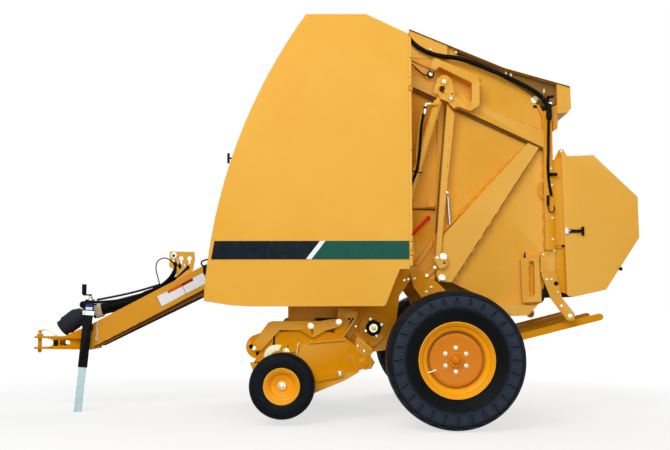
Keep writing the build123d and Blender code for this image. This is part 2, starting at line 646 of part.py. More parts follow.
cover += link(NET_PIVOT, (1425, 1695), 16, COVER_IN, COVER_HALF)
cover -= disc(NET_PIVOT, NET_PIN + PIN_CLEARANCE, COVER_IN - 1, COVER_HALF + 1)
cover_shell = plate(ribbon([(1425, 1713)] + NET_PANEL[1:-1], SHEET), -COVER_IN, COVER_IN)
for side in both_sides(cover):
    cover_shell += side
keep("net_cover", cover_shell)

# Tailgate cylinders
axis_x = CYLINDER_FOOT[0] - CYLINDER_TOP[0]
axis_z = CYLINDER_FOOT[1] - CYLINDER_TOP[1]
CLOSED = math.hypot(axis_x, axis_z)
cylinder_direction = Vector(axis_x / CLOSED, 0, axis_z / CLOSED)
cylinder_top = Vector(CYLINDER_TOP[0], -CYLINDER_Y, CYLINDER_TOP[1])


def cylinder_bar(radius, start, end):
    """Round bar along the cylinder between two distances from its top pin."""
    origin = cylinder_top + cylinder_direction * ((start + end) / 2)
    return Plane(origin=origin, z_dir=cylinder_direction) * Cylinder(radius, end - start)


EYE = 24.0
NECK = 16.0
GLAND = 40.0
PORT = 9.0
barrel = cylinder_bar(BARREL_RADIUS, BARREL_START, BARREL_LENGTH)
barrel += cylinder_bar(BARREL_RADIUS + 4, BARREL_LENGTH - GLAND, BARREL_LENGTH)
for distance in (BARREL_START + 20, BARREL_LENGTH - GLAND - 20):
    port = cylinder_top + cylinder_direction * distance
    barrel += Pos(port.X, port.Y - BARREL_RADIUS + 4, port.Z) * Rot(90, 0, 0) * Cylinder(PORT, 24)
barrel -= cylinder_bar(ROD_RADIUS + ROD_CLEARANCE, BARREL_START + 20, BARREL_LENGTH + 1)
barrel += cylinder_bar(NECK, 10, BARREL_START)
barrel += disc(CYLINDER_TOP, EYE, CYLINDER_Y - EYE_HALF, CYLINDER_Y + EYE_HALF)
barrel -= disc(CYLINDER_TOP, CYLINDER_PIN + PIN_CLEARANCE, CYLINDER_Y - 30, CYLINDER_Y + 30)
keep_pair("cylinder_barrel", barrel)
rod = cylinder_bar(ROD_RADIUS, BARREL_START + 60, CLOSED - 10)
rod += disc(CYLINDER_FOOT, EYE, CYLINDER_Y - EYE_HALF, CYLINDER_Y + EYE_HALF)
rod -= disc(CYLINDER_FOOT, CYLINDER_PIN + 3, CYLINDER_Y - 30, CYLINDER_Y + 30)
keep_pair("cylinder_rod", rod)

# Side shields, hinged on the front walls at their rear edge
SHIELD_HINGE = (386.0, SHIELD_FAR - 10)
SHIELD_OUTLINE = [(-271, 2585), (110, 2583), (376, 2455), (376, 963), (316, 963), (275, 864),
                  (228, 744), (216, 734), (-613, 731), (-738, 739), (-902, 765)]
HINGE_HEIGHTS = (1080.0, 2120.0)
KNUCKLE_LENGTH = 50.0
front_edge = ThreePointArc((-902, 765), (-697, 1775), (-271, 2585))
shield_wire = Polyline(*SHIELD_OUTLINE)
shield_face = make_face(shield_wire.edges() + front_edge.edges())
shield = extrude(Plane.XZ.offset(SHIELD_FAR - SHIELD_DEPTH) * shield_face, SHIELD_DEPTH)
shield_hollow = offset(shield_face, -SHIELD_SHEET)
shield -= extrude(Plane.XZ.offset(SHIELD_FAR - SHIELD_DEPTH - 1) * shield_hollow,
                  SHIELD_DEPTH - SHIELD_SHEET + 1)
arms = []
for height in HINGE_HEIGHTS:
    hinge = Pos(SHIELD_HINGE[0], -SHIELD_HINGE[1], height)
    shield += hinge * Pos(0, 0, KNUCKLE_LENGTH / 2) * Cylinder(14, KNUCKLE_LENGTH)
    shield += beam(366, SHIELD_HINGE[0], SHIELD_HINGE[1] - 4, SHIELD_HINGE[1] + 4,
                   height, height + KNUCKLE_LENGTH)
    shield -= hinge * Pos(0, 0, KNUCKLE_LENGTH / 2) * Cylinder(HINGE_PIN + PIN_CLEARANCE,
                                                              KNUCKLE_LENGTH + 10)
    hinge_arm = beam(SHIELD_HINGE[0] - 4.5, 402, OUTER, SHIELD_HINGE[1], height - 30, height - SEAT)
    hinge_arm += hinge * Pos(0, 0, -15 - SEAT / 2) * Cylinder(9, 30 - SEAT)
    hinge_arm += hinge * Pos(0, 0, 20) * Cylinder(HINGE_PIN, 60)
    arms += both_sides(hinge_arm)
keep_pair("shield", shield)
keep("shield_arms", *arms)

# Main wheels: tyre with shoulder lugs, and rim
wheel_plane = Plane(origin=(WHEEL_X, -TRACK / 2, TYRE_RADIUS), x_dir=(1, 0, 0), z_dir=(0, -1, 0))


def turned(profile):
    """Solid turned about a wheel's axle from points of radius and distance outward."""
    face = make_face(Polyline(*profile, close=True))
    return revolve(Plane.XZ * face, Axis.Z)


def faceted(rings, steps):
    """Ring-shaped solid of flat faces, through rings of (radius, outward) at each step."""
    corners = []
    for ring in rings:
        line = []
        for step in range(steps):
            radius, out = ring(step) if callable(ring) else ring
            angle = math.tau * step / steps
            line.append(Vector(radius * math.cos(angle), radius * math.sin(angle), out))
        corners.append(line)
    faces = []
    for index, first in enumerate(corners):
        following = (index + 1) % len(corners)
        second = corners[following]
        bent = callable(rings[index]) or callable(rings[following])
        for step in range(steps):
            after = (step + 1) % steps
            quad = (first[step], first[after], second[after], second[step])
            shapes = (quad[:3], (quad[0], quad[2], quad[3])) if bent else (quad,)
            for shape in shapes:
                faces.append(Face(Wire.make_polygon(shape, close=True)))
    return Solid(Shell(faces))


BEAD = RIM_RADIUS - 20
LUG_COUNT = 28
TYRE_STEPS = 3 * LUG_COUNT
NOTCH_DEPTH = 13.0
HALF = TYRE_WIDTH / 2


def notched(side):
    """Ring at the lugs' inner ends, sunk between one lug and the next."""
    def point(step):
        sunk = NOTCH_DEPTH if step % 3 == 0 else 0.0
        return TYRE_RADIUS - 92, side * (HALF - 3 - sunk)
    return point


TYRE_SHOULDER = ((TYRE_RADIUS, HALF - 66), (TYRE_RADIUS - 12, HALF - 26), (TYRE_RADIUS - 40, HALF))
TYRE_BEAD = ((RIM_RADIUS + 2, 150.5), (BEAD + 0.7, 134.0))
tyre_rings = []
for side, order in ((1, 1), (-1, -1)):
    half_ring = [(radius, side * out) for radius, out in TYRE_SHOULDER]
    half_ring.append(notched(side))
    half_ring += [(radius, side * out) for radius, out in TYRE_BEAD]
    tyre_rings += half_ring[::order]
tyre_rings = tyre_rings[:6] + [(TYRE_RADIUS - 30, HALF - 30), (TYRE_RADIUS - 30, 30 - HALF)] + tyre_rings[6:]
keep_pair("tyre", wheel_plane * faceted(tyre_rings, TYRE_STEPS))

LIP = 158.0
BARREL = RIM_RADIUS - 30
DISH = 88.0
rim_section = [
    (BEAD, -135), (RIM_RADIUS, -150), (RIM_RADIUS, -LIP), (BARREL, -LIP), (BARREL, 62 - 8),
    (160, DISH - 14), (60, DISH - 14), (60, -120), (HUB_BORE + PIN_CLEARANCE, -120),
    (HUB_BORE + PIN_CLEARANCE, 0), (0, 0), (0, 110), (28, 110), (28, 100), (45, 100), (45, DISH),
    (165, DISH), (BARREL, 62), (BARREL, 148), (RIM_RADIUS - 10, 148), (RIM_RADIUS - 10, LIP),
    (RIM_RADIUS, LIP), (RIM_RADIUS, 150), (BEAD, 135),
]
keep_pair("rim", wheel_plane * turned(rim_section))

# Pickup: side plates with their brackets and gauge-wheel arms
SIDE_NEAR = PICKUP_HALF - PICKUP_PLATE
SIDE_PLATE = [(-635, 375), (-500, 385), (-480, 560), (-330, 585), (-60, 560), (60, 470), (120, 440),
              (165, 378), (140, 335), (82, 333), (-225, 185), (-420, 140), (-560, 200)]
OUTER_PANEL = [(-293, 487), (-262, 500), (-21, 521), (2, 450), (63, 315), (-29, 262), (-225, 181),
               (-350, 250), (-333, 417)]
GAUGE_ARM_NEAR = PICKUP_HALF + 12
side_plate = plate(SIDE_PLATE, SIDE_NEAR, PICKUP_HALF)
side_plate += rounded(OUTER_PANEL, 5, PICKUP_HALF, PICKUP_HALF + 12)
side_plate += plate(ribbon([(-262, 500), (-21, 521)], SHEET), PICKUP_HALF + 12, PICKUP_HALF + 24)
side_plate += disc(PICKUP_PIVOT, 42, PICKUP_HALF, PICKUP_HALF + 8)
side_plate -= disc(PICKUP_PIVOT, PIVOT_PIN + PIN_CLEARANCE, SIDE_NEAR - 1, PICKUP_HALF + 20)
side_plate += link((-66, 550), GUARD_PIVOT, 26, SIDE_NEAR, PICKUP_HALF)
side_plate += disc(GUARD_PIVOT, GUARD_PIN, PICKUP_HALF, PICKUP_HALF + 26)
v_bracket = plate([(-71, 717), (33, 717), (24, 662), (-8, 605), (-45, 538), (-80, 560)],
                  SIDE_NEAR, PICKUP_HALF)
v_bracket -= plate([(-32, 664), (16, 664), (-8, 624)], SIDE_NEAR - 1, PICKUP_HALF + 1)
side_plate += v_bracket
side_plate += rounded([(-456, 436), (-431, 486), (-335, 516), (-332, 442)], 6,
                      PICKUP_HALF, PICKUP_HALF + 12)
side_plate += rounded([(-543, 410), (-530, 455), (-491, 483), (-431, 486), (-456, 442), (-472, 400)], 8,
                      SIDE_NEAR, PICKUP_HALF + 4)
gauge_arm = link((-58, 309), GAUGE_CENTRE, 26, GAUGE_ARM_NEAR, GAUGE_ARM_NEAR + 12)
gauge_arm += disc(GAUGE_CENTRE, GAUGE_PIN, GAUGE_ARM_NEAR, GAUGE_Y + 30)
keep_pair("pickup_side", side_plate + gauge_arm)

# Stripper bands, bent round the reel and held on a cross plate
BAND_PITCH = 2 * SIDE_NEAR / BAND_COUNT
BAND_WIDTH = BAND_PITCH - 18
band_face = wrap([(REEL[0], REEL[1], BAND_RADIUS), (-130, 400, 30)])
band_face -= offset(band_face, -BAND_SHEET)
band_face -= Pos(-200, 215) * Rectangle(400, 300)
bands = plate([(-200, 426), (-90, 426), (-90, 432), (-200, 432)], -SIDE_NEAR, SIDE_NEAR)
for index in range(BAND_COUNT):
    middle = (index - (BAND_COUNT - 1) / 2) * BAND_PITCH
    bands += extrude(Plane.XZ.offset(middle - BAND_WIDTH / 2) * band_face, BAND_WIDTH)
keep("stripper_bands", bands)

# Tine reel: shaft, discs and bars, with a tine in each gap between the bands
reel = disc(REEL, 40, -(SIDE_NEAR - SEAT), SIDE_NEAR - SEAT)
for share in (-0.95, -0.54, 0.54, 0.95):
    reel += disc(REEL, TINE_BAR + 13, share * SIDE_NEAR - 4, share * SIDE_NEAR + 4)
for bar in range(BAR_COUNT):
    angle = math.tau * bar / BAR_COUNT + math.radians(20)
    centre = (REEL[0] + TINE_BAR * math.cos(angle), REEL[1] + TINE_BAR * math.sin(angle))
    reel += disc(centre, 11, -0.96 * SIDE_NEAR, 0.96 * SIDE_NEAR)
    length = TINE_REACH - TINE_BAR
    for index in range(BAND_COUNT - 1):
        y = -(index - (BAND_COUNT - 2) / 2) * BAND_PITCH
        placed = Pos(REEL[0], y, REEL[1]) * Rot(0, -math.degrees(angle), 0)
        reel += placed * Pos(TINE_BAR + length / 2, 0, 0) * Box(length, TINE, TINE)
keep("tine_reel", reel)

# Windguard: two bent arms with a roller between them
GUARD_NEAR = PICKUP_HALF + 14
GUARD_FAR = GUARD_NEAR + 8
GUARD_ARM = [
    (-66, 655, 14), (-121, 649, 8), (-182, 638, 8), (-489, 638, 14), (-515, 630, 14), (-612, 500, 14),
    (-606, 458, 14), (-562, 448, 14), (-444, 582, 24), (-313, 580, 20), (-233, 531, 24),
    (-153, 576, 20), (-60, 604, 14), (-38, 632, 12),
]
ROLLER_END = PICKUP_HALF - 18
CAP = 6.0
CAP_HOLES = 4
guard_arm = rounded(*split(GUARD_ARM), GUARD_NEAR, GUARD_FAR)
guard_arm -= link((-243, 612), (-232, 560), 7, GUARD_NEAR - 1, GUARD_FAR + 1)
guard_arm -= disc(GUARD_PIVOT, GUARD_PIN + PIN_CLEARANCE, GUARD_NEAR - 1, GUARD_FAR + 1)
guard = disc(GUARD_ROLLER, GUARD_ROLLER_RADIUS, -ROLLER_END, ROLLER_END)
guard -= disc(GUARD_ROLLER, GUARD_ROLLER_RADIUS - SHEET, -ROLLER_END - 1, ROLLER_END + 1)
roller_cap = disc(GUARD_ROLLER, GUARD_ROLLER_RADIUS - 2, ROLLER_END - CAP, ROLLER_END)
for hole in range(CAP_HOLES):
    angle = math.tau * hole / CAP_HOLES
    x = GUARD_ROLLER[0] + 45 * math.cos(angle)
    z = GUARD_ROLLER[1] + 45 * math.sin(angle)
    roller_cap -= disc((x, z), 14, ROLLER_END - CAP - 1, ROLLER_END + 1)
for side in both_sides(roller_cap + guard_arm + disc(GUARD_ROLLER, 16, ROLLER_END - CAP, GUARD_FAR)):
    guard += side
keep("windguard", guard)

# Gauge wheels: stepped steel wheel and its tyre
gauge_plane = Plane(origin=(GAUGE_CENTRE[0], -GAUGE_Y, GAUGE_CENTRE[1]), x_dir=(1, 0, 0),
                    z_dir=(0, -1, 0))
GAUGE_BORE = GAUGE_PIN + PIN_CLEARANCE
GAUGE_DRUM = 90.0
GAUGE_STEPS = 32
gauge_half = GAUGE_WIDTH / 2
gauge_section = [
    (GAUGE_BORE, -45), (30, -45), (30, -8), (GAUGE_DRUM - 6, -8), (GAUGE_DRUM - 6, -66),
    (GAUGE_DRUM + 24, -66), (GAUGE_DRUM + 24, -60), (GAUGE_DRUM, -60), (GAUGE_DRUM, 60),
    (GAUGE_DRUM + 24, 60), (GAUGE_DRUM + 24, 66), (GAUGE_DRUM - 6, 66), (GAUGE_DRUM - 6, 26),
    (64, 26), (64, 10), (32, 10), (32, 6), (GAUGE_BORE, 6),
]
GAUGE_SHOULDER = ((GAUGE_RADIUS, gauge_half - 38), (GAUGE_RADIUS - 13, gauge_half - 8),
                  (GAUGE_RADIUS - 54, gauge_half), (GAUGE_DRUM + 1, gauge_half - 25))
gauge_rings = list(GAUGE_SHOULDER) + [(radius, -out) for radius, out in GAUGE_SHOULDER[::-1]]
keep_pair("gauge_wheel", gauge_plane * turned(gauge_section))
keep_pair("gauge_tyre", gauge_plane * faceted(gauge_rings, GAUGE_STEPS))

# Pickup pivots on the front walls
pivot_arm = disc(PICKUP_PIVOT, PIVOT_PIN, OUTER, PICKUP_HALF + 14)
pivot_arm += link(PICKUP_PIVOT, PIVOT_LINK_END, 30, OUTER, OUTER + 12)
keep("pickup_pivots", *both_sides(pivot_arm))

# Bale ramp behind the axle, on its carrier
RAMP_START = (930, 480)
RAMP_BAR = 30.0
ramp = disc(RAMP_PIVOT, 24, -RAMP_HALF, RAMP_HALF)
for near in (RAMP_HALF - RAMP_BAR, RAMP_HALF * 0.36, -RAMP_HALF * 0.36 - RAMP_BAR, -RAMP_HALF):
    ramp += link(RAMP_START, RAMP_END, 22, near, near + RAMP_BAR)
ramp -= disc(RAMP_PIVOT, RAMP_PIN + PIN_CLEARANCE, -RAMP_HALF - 1, RAMP_HALF + 1)
keep("bale_ramp", ramp)
AXLE_BACK = WHEEL_X + AXLE_HALF
carrier = disc(RAMP_PIVOT, RAMP_PIN, -(RAMP_HALF + 20), RAMP_HALF + 20)
for side in both_sides(plate([(AXLE_BACK, 390), (AXLE_BACK, 440), (895, 494), (920, 470), (895, 446)],
                             RAMP_HALF + 5, RAMP_HALF + 20)):
    carrier += side
keep("ramp_carrier", carrier)


def main():
    """Write one STEP file for each sub-part."""
    os.makedirs("parts", exist_ok=True)
    for name, solids in nodes.items():
        placed = [Pos(-ORIGIN_X, 0, 0) * solid for solid in solids]
        shape = placed[0] if len(placed) == 1 else Compound(children=placed)
        export_step(shape, "parts/" + name + ".step")


main()
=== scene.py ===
"""Looks of a towed round baler, parked on its jack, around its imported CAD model."""
import math
import bmesh
import bpy
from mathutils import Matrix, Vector


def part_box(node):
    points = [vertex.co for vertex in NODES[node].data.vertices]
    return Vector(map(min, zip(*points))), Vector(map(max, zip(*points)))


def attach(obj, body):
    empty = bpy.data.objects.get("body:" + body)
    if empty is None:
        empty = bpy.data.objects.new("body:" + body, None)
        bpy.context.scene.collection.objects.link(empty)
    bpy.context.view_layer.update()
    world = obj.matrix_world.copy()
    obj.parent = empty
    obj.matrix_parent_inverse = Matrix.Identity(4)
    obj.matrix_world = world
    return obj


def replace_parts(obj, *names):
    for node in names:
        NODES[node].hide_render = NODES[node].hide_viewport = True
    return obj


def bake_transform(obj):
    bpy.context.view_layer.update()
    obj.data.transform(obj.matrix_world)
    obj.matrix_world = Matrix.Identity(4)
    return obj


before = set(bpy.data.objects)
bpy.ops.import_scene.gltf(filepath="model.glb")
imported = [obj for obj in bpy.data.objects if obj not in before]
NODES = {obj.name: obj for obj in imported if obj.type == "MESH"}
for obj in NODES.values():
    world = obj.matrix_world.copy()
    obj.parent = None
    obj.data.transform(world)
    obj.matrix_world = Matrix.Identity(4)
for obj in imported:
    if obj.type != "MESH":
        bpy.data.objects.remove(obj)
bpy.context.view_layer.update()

SIDES = (("left", -1.0), ("right", 1.0))

# Places are written in millimetres from the machine's own datum: X to the rear, Z up from the
# ground, and distances out from the centre plane. The wheel ties them to the frame.
WHEEL_X, WHEEL_Z = 636.0, 415.0
MM = 0.001


def middle(node):
    """Centre of a CAD node's box."""
    low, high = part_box(node)
    return (low + high) / 2


DATUM_X = middle("tyre_left").x - WHEEL_X * MM


def at(x, y, z):
    """Point in metres of a place in millimetres."""
    return Vector((DATUM_X + x * MM, y * MM, z * MM))


def new_object(name, data):
    """Object of some data, in the scene."""
    obj = bpy.data.objects.new(name, data)
    bpy.context.scene.collection.objects.link(obj)
    return obj


# Camera of the photograph: fitted focal length in pixels, place and angles
IMAGE_WIDTH = 670
FOCAL_PIXELS = 906.0
CAMERA_PLACE = Vector((0.194, -6.565, 0.753))
CAMERA_PITCH = math.radians(4.92)
CAMERA_YAW = math.radians(0.885)
SENSOR = 36.0


def add_camera():
    """Camera at the photograph's viewing angle."""
    data = bpy.data.cameras.new("photo_camera")
    data.sensor_width = SENSOR
    data.lens = SENSOR * FOCAL_PIXELS / IMAGE_WIDTH
    camera = new_object("photo_camera", data)
    camera.location = CAMERA_PLACE
    camera.rotation_euler = (math.radians(90) + CAMERA_PITCH, 0, CAMERA_YAW)
    bpy.context.scene.camera = camera


# Materials: colours are written as 8-bit red, green and blue
DUST = (224, 164, 58)
# Pale colour of edges and folds: rubbed paint, and also a painted highlight
RUBBED_AND_HIGHLIGHT = (250, 200, 104)
FADED = (120, 124, 122)
DULL = (120, 104, 86)
# Radii in metres about the wheel's axis over which the colours change: the rim's darker disc is painted
# shade, and the tyre's paler lug band is a painted sheen
DISC_SHADE_EDGE = (0.160, 0.172)
LUG_SHEEN_INNER = (0.296, 0.322)
LUG_SHEEN_OUTER = (0.378, 0.388)


def srgb(red, green, blue):
    """Linear colour of an 8-bit colour."""
    linear = []
    for value in (red, green, blue):
        share = value / 255
        linear.append(share / 12.92 if share <= 0.04045 else ((share + 0.055) / 1.055) ** 2.4)
    return (*linear, 1.0)


def set_inputs(node, values):
    """Constant values of a node's sockets, by their names with underscores."""
    for name, value in values.items():
        node.inputs[name.replace("_", " ")].default_value = value


class Tree:
    """Short forms for building a node tree."""

    def __init__(self, tree):
        self.tree = tree

    def new(self, kind, **values):
        node = self.tree.nodes.new(kind)
        set_inputs(node, values)
        return node

    def link(self, source, target):
        self.tree.links.new(source, target)

    def ramp(self, source, low, high, first, last):
        """Value that rises from first to last as the source goes from low to high."""
        node = self.new("ShaderNodeMapRange", From_Min=low, From_Max=high, To_Min=first, To_Max=last)
        self.link(source, node.inputs["Value"])
        return node.outputs["Result"]

    def combined(self, operation, first, second):
        """Product or maximum of two outputs."""
        node = self.new("ShaderNodeMath")
        node.operation = operation
        self.link(first, node.inputs[0])
        self.link(second, node.inputs[1])
        return node.outputs["Value"]

    def seen_ray(self):
        """Output that is 1 for camera, mirror and glass rays, and 0 for the light on surfaces."""
        path = self.new("ShaderNodeLightPath")
        total = path.outputs["Is Camera Ray"]
        for name in ("Is Glossy Ray", "Is Transmission Ray"):
            total = self.combined("MAXIMUM", total, path.outputs[name])
        return total


class Nodes(Tree):
    """Node tree of a new material, on the object's own coordinates."""

    def __init__(self, name):
        self.material = bpy.data.materials.new(name + "_look")
        self.material.use_nodes = True
        super().__init__(self.material.node_tree)
        self.shader = self.tree.nodes["Principled BSDF"]
        self.place = self.new("ShaderNodeTexCoord").outputs["Object"]

    def noise(self, scale, detail=3.0, roughness=0.5, stretch=None):
        """Noise over the object's own coordinates, optionally stretched along an axis."""
        node = self.new("ShaderNodeTexNoise", Scale=scale, Detail=detail, Roughness=roughness)
        place = self.place
        if stretch:
            mapping = self.new("ShaderNodeMapping", Scale=stretch)
            self.link(place, mapping.inputs["Vector"])
            place = mapping.outputs["Vector"]
        self.link(place, node.inputs["Vector"])
        return node.outputs["Fac"]

    def vector_math(self, operation, source, value=(0, 0, 0)):
        """Node that works on a vector."""
        node = self.new("ShaderNodeVectorMath")
        node.operation = operation
        node.inputs[1].default_value = value
        self.link(source, node.inputs[0])
        return node

    def distance(self, centre, axes):
        """Distance from a point, along the axes that are 1."""
        away = self.vector_math("SUBTRACT", self.place, centre).outputs["Vector"]
        flat = self.vector_math("MULTIPLY", away, axes).outputs["Vector"]
        return self.vector_math("LENGTH", flat).outputs["Value"]

    def wheel_radius(self):
        """Distance from the main wheels' axis."""
        return self.distance(at(WHEEL_X, 0, WHEEL_Z), (1, 0, 1))

    def mix(self, share, first, second):
        """Colour between two colours or colour outputs."""
        node = self.new("ShaderNodeMix")
        node.data_type = "RGBA"
        for socket, value in ((node.inputs[6], first), (node.inputs[7], second)):
            if isinstance(value, tuple):
                socket.default_value = srgb(*value)
            else:
                self.link(value, socket)
        self.link(share, node.inputs[0])
        return node.outputs[2]

    def finish(self, colour, grain, low, high, height, strength, distance, **values):
        """Material with a colour, roughness from low to high with a grain, bump and constants."""
        self.link(colour, self.shader.inputs["Base Color"])
        self.link(self.ramp(grain, 0.3, 0.7, low, high), self.shader.inputs["Roughness"])
        bump = self.new("ShaderNodeBump", Strength=strength, Distance=distance)
        self.link(height, bump.inputs["Height"])
        self.link(bump.outputs["Normal"], self.shader.inputs["Normal"])
        set_inputs(self.shader, values)
        return self.material


def paint(name, colour, deep, gloss=0.38, dust=0.12, mirror=0.1, disc=None):
    """Sprayed paint: drift of colour, a wheel's disc painted deeper as painted shade, light dust, rubbed
    edges that also carry a painted highlight, orange peel.
    """
    nodes = Nodes(name)
    drift = nodes.ramp(nodes.noise(1.7, 4.0, 0.6), 0.35, 0.65, 0.0, 1.0)
    body = nodes.mix(drift, colour, deep)
    # The disc inside the rim is painted darker than the barrel: painted shade
    if disc:
        body = nodes.mix(nodes.ramp(nodes.wheel_radius(), *DISC_SHADE_EDGE, 0.0, 1.0), disc, body)
    dusty = nodes.ramp(nodes.noise(9.0, 6.0, 0.65), 0.55, 0.8, 0.0, dust)
    body = nodes.mix(dusty, body, DUST)
    # Pointy edges and folds turn paler: partly rubbed paint, partly a painted highlight
    geometry = nodes.new("ShaderNodeNewGeometry")
    edge = nodes.ramp(geometry.outputs["Pointiness"], 0.52, 0.62, 0.0, 0.35)
    return nodes.finish(nodes.mix(edge, body, RUBBED_AND_HIGHLIGHT), nodes.noise(22.0, 5.0), gloss - 0.06,
                        gloss + 0.08, nodes.noise(260.0, 2.0), 0.035, 0.001,
                        Specular_IOR_Level=mirror)


def plain_paint(name, colour, rough=0.35):
    """Flat film of one colour with a faint grain."""
    nodes = Nodes(name)
    tone = nodes.ramp(nodes.noise(30.0, 4.0), 0.3, 0.7, 0.0, 0.04)
    return nodes.finish(nodes.mix(tone, colour, FADED), nodes.noise(60.0, 3.0), rough - 0.05,
                        rough + 0.06, nodes.noise(300.0, 2.0), 0.02, 0.001, Specular_IOR_Level=0.05)


def rubber(name, colour, pale, grain=420.0, rough=0.5, lugs=None):
    """Rubber with a faint bloom and fine grain, and on the main tyre a paler lug band that is a painted
    sheen.
    """
    nodes = Nodes(name)
    bloom = nodes.ramp(nodes.noise(5.0, 6.0, 0.65), 0.4, 0.75, 0.0, 0.6)
    body = nodes.mix(bloom, colour, pale)
    if lugs:
        # Paler band over the tyre's lug zone, darker again at the crown: painted sheen
        radius = nodes.wheel_radius()
        body = nodes.mix(nodes.ramp(radius, *LUG_SHEEN_INNER, 0.0, 1.0), body, lugs)
        body = nodes.mix(nodes.ramp(radius, *LUG_SHEEN_OUTER, 0.0, 0.8), body, colour)
    return nodes.finish(body, nodes.noise(35.0, 4.0), rough - 0.1, rough + 0.1,
                        nodes.noise(grain, 3.0), 0.06, 0.001, Specular_IOR_Level=0.06)


def zinc(name, colour, tint, rough=0.3):
    """Zinc-plated steel with the passivation's patches of tint."""
    nodes = Nodes(name)
    patch = nodes.ramp(nodes.noise(38.0, 4.0, 0.6), 0.35, 0.65, 0.0, 1.0)
    return nodes.finish(nodes.mix(patch, colour, tint), nodes.noise(120.0, 3.0), rough - 0.08,
                        rough + 0.1, nodes.noise(500.0, 2.0), 0.05, 0.0005, Metallic=0.9)


def brushed(name, colour, rough=0.34):
    """Rolled or ground steel, with faint lines along its length and a few dull spots."""
    nodes = Nodes(name)
    spots = nodes.ramp(nodes.noise(14.0, 6.0, 0.7), 0.5, 0.75, 0.0, 0.5)
    lines = nodes.noise(240.0, 3.0, 0.6, (1.0, 0.08, 1.0))
    return nodes.finish(nodes.mix(spots, colour, DULL), lines, rough - 0.08, rough + 0.12,
                        lines, 0.05, 0.0006, Metallic=0.85)


MATERIALS = {
    # Paler copy of the yellow for covers high up where light falls, and for the cylinder barrels so they
    # look lit in the shields' shadow: painted light
    "cover": paint("cover_paint", (244, 182, 68), (240, 176, 60)),
    "frame": paint("frame_paint", (234, 170, 54), (228, 162, 42), 0.36, 0.15),
    # Deeper, more saturated copy of the yellow for parts low down and in shade: painted shade
    "lower": paint("lower_paint", (236, 158, 4), (226, 146, 0), 0.32, 0.03, 0.03),
    # Dark brown that stands in for shadow on strips, plates and rings under flanges, in recesses and gaps:
    # painted shade
    "shade": paint("shade_paint", (84, 44, 4), (70, 36, 2), 0.5, 0.0, 0.03),
    # Rim: the last colour is the disc's, darker than barrel and lip as painted shade
    "rim": paint("rim_paint", (252, 172, 20), (250, 166, 12), 0.22, 0.0, 0.14, (218, 128, 0)),
    "black": plain_paint("black_paint", (8, 8, 10), 0.32),
    "blue": plain_paint("blue_film", (28, 58, 160), 0.3),
    "navy": plain_paint("navy_film", (12, 24, 36), 0.3),
    "green": plain_paint("green_film", (22, 88, 72), 0.3),
    "white": plain_paint("white_film", (255, 255, 255)),
    "orange": plain_paint("orange_film", (238, 86, 24)),
    "maroon": plain_paint("maroon_film", (158, 28, 30)),
    "beige": plain_paint("beige_plastic", (244, 228, 196), 0.5),
    "belt": rubber("belt", (22, 22, 24), (48, 47, 46), 900.0, 0.7),
    # Main tyre: the last colour is the paler lug band, a painted sheen
    "tyre": rubber("tyre", (9, 11, 14), (18, 22, 27), lugs=(45, 53, 65)),
    "small_tyre": rubber("small_tyre", (12, 17, 20), (26, 32, 38)),
    "hose": rubber("hose", (6, 6, 7), (22, 22, 24), 1200.0),
    "plastic": rubber("guard", (8, 8, 9), (22, 22, 24), 700.0, 0.45),
    "bell": rubber("bell", (38, 42, 48), (66, 72, 82), 700.0, 0.45),
    "leg": zinc("leg", (169, 190, 190), (156, 180, 182), 0.46),
    "zinc": zinc("zinc", (226, 228, 220), (214, 208, 168)),
    "passivated": zinc("passivated", (196, 206, 178), (210, 190, 150), 0.34),
    "steel": brushed("steel", (176, 172, 164)),
    "oiled": brushed("oiled", (88, 84, 78), 0.42),
    "galvanised": zinc("galvanised", (205, 213, 212), (186, 198, 200), 0.42),
    "red": plain_paint("red_grip", (244, 36, 22), 0.3),
}

# Look of each CAD node; the ones that aren't listed have the frame's paint. Low and shaded parts take the
# deeper lower paint as painted shade, and the cylinder barrels take the paler cover paint as painted light.
LOOK_NODES = {
    "cover": ("front_hood", "gate_roof", "net_cover", "shield_left", "shield_right", "hose_holder",
              "cylinder_barrel_left", "cylinder_barrel_right"),
    "lower": ("pickup_side_left", "pickup_side_right", "pickup_pivots", "windguard", "tongue_beams",
              "tongue_braces", "hitch", "axle_beam", "bale_ramp", "ramp_carrier", "stripper_bands",
              "gearbox", "net_frame", "frame_side_left", "frame_side_right"),
    "steel": ("front_rollers", "gate_rollers", "cylinder_rod_left", "cylinder_rod_right"),
    "oiled": ("drive_chain",),
    "belt": ("front_belts", "gate_belts"),
    "black": ("jack_tube", "tine_reel"),
    "leg": ("jack_leg",),
    "plastic": ("driveline",),
    "bell": ("drive_yoke",),
    "hose": ("gate_hoses", "tongue_hoses"),
}
NODE_LOOKS = {node: look for look, names in LOOK_NODES.items() for node in names}
WELD_REACH = 0.00002
EDGE_RADIUS = 0.0018
SMALL_EDGE_RADIUS = 0.0007
FINE_NODES = ("stripper_bands", "tine_reel", "front_belts", "gate_belts", "shield_arms",
              "drive_chain", "gate_hoses", "tongue_hoses")
EDGE_ANGLE = math.radians(32)


def dress_cad_nodes():
    """Materials and softened edges of the CAD nodes."""
    for name, node in NODES.items():
        node.data.materials.clear()
        node.data.materials.append(MATERIALS[NODE_LOOKS.get(name, "frame")])
        weld = node.modifiers.new("weld", "WELD")
        weld.merge_threshold = WELD_REACH
        bevel = node.modifiers.new("bevel", "BEVEL")
        bevel.width = SMALL_EDGE_RADIUS if name in FINE_NODES else EDGE_RADIUS
        bevel.segments = 1 if name in FINE_NODES else 2
        bevel.limit_method = "ANGLE"
        bevel.angle_limit = EDGE_ANGLE
        bevel.harden_normals = True


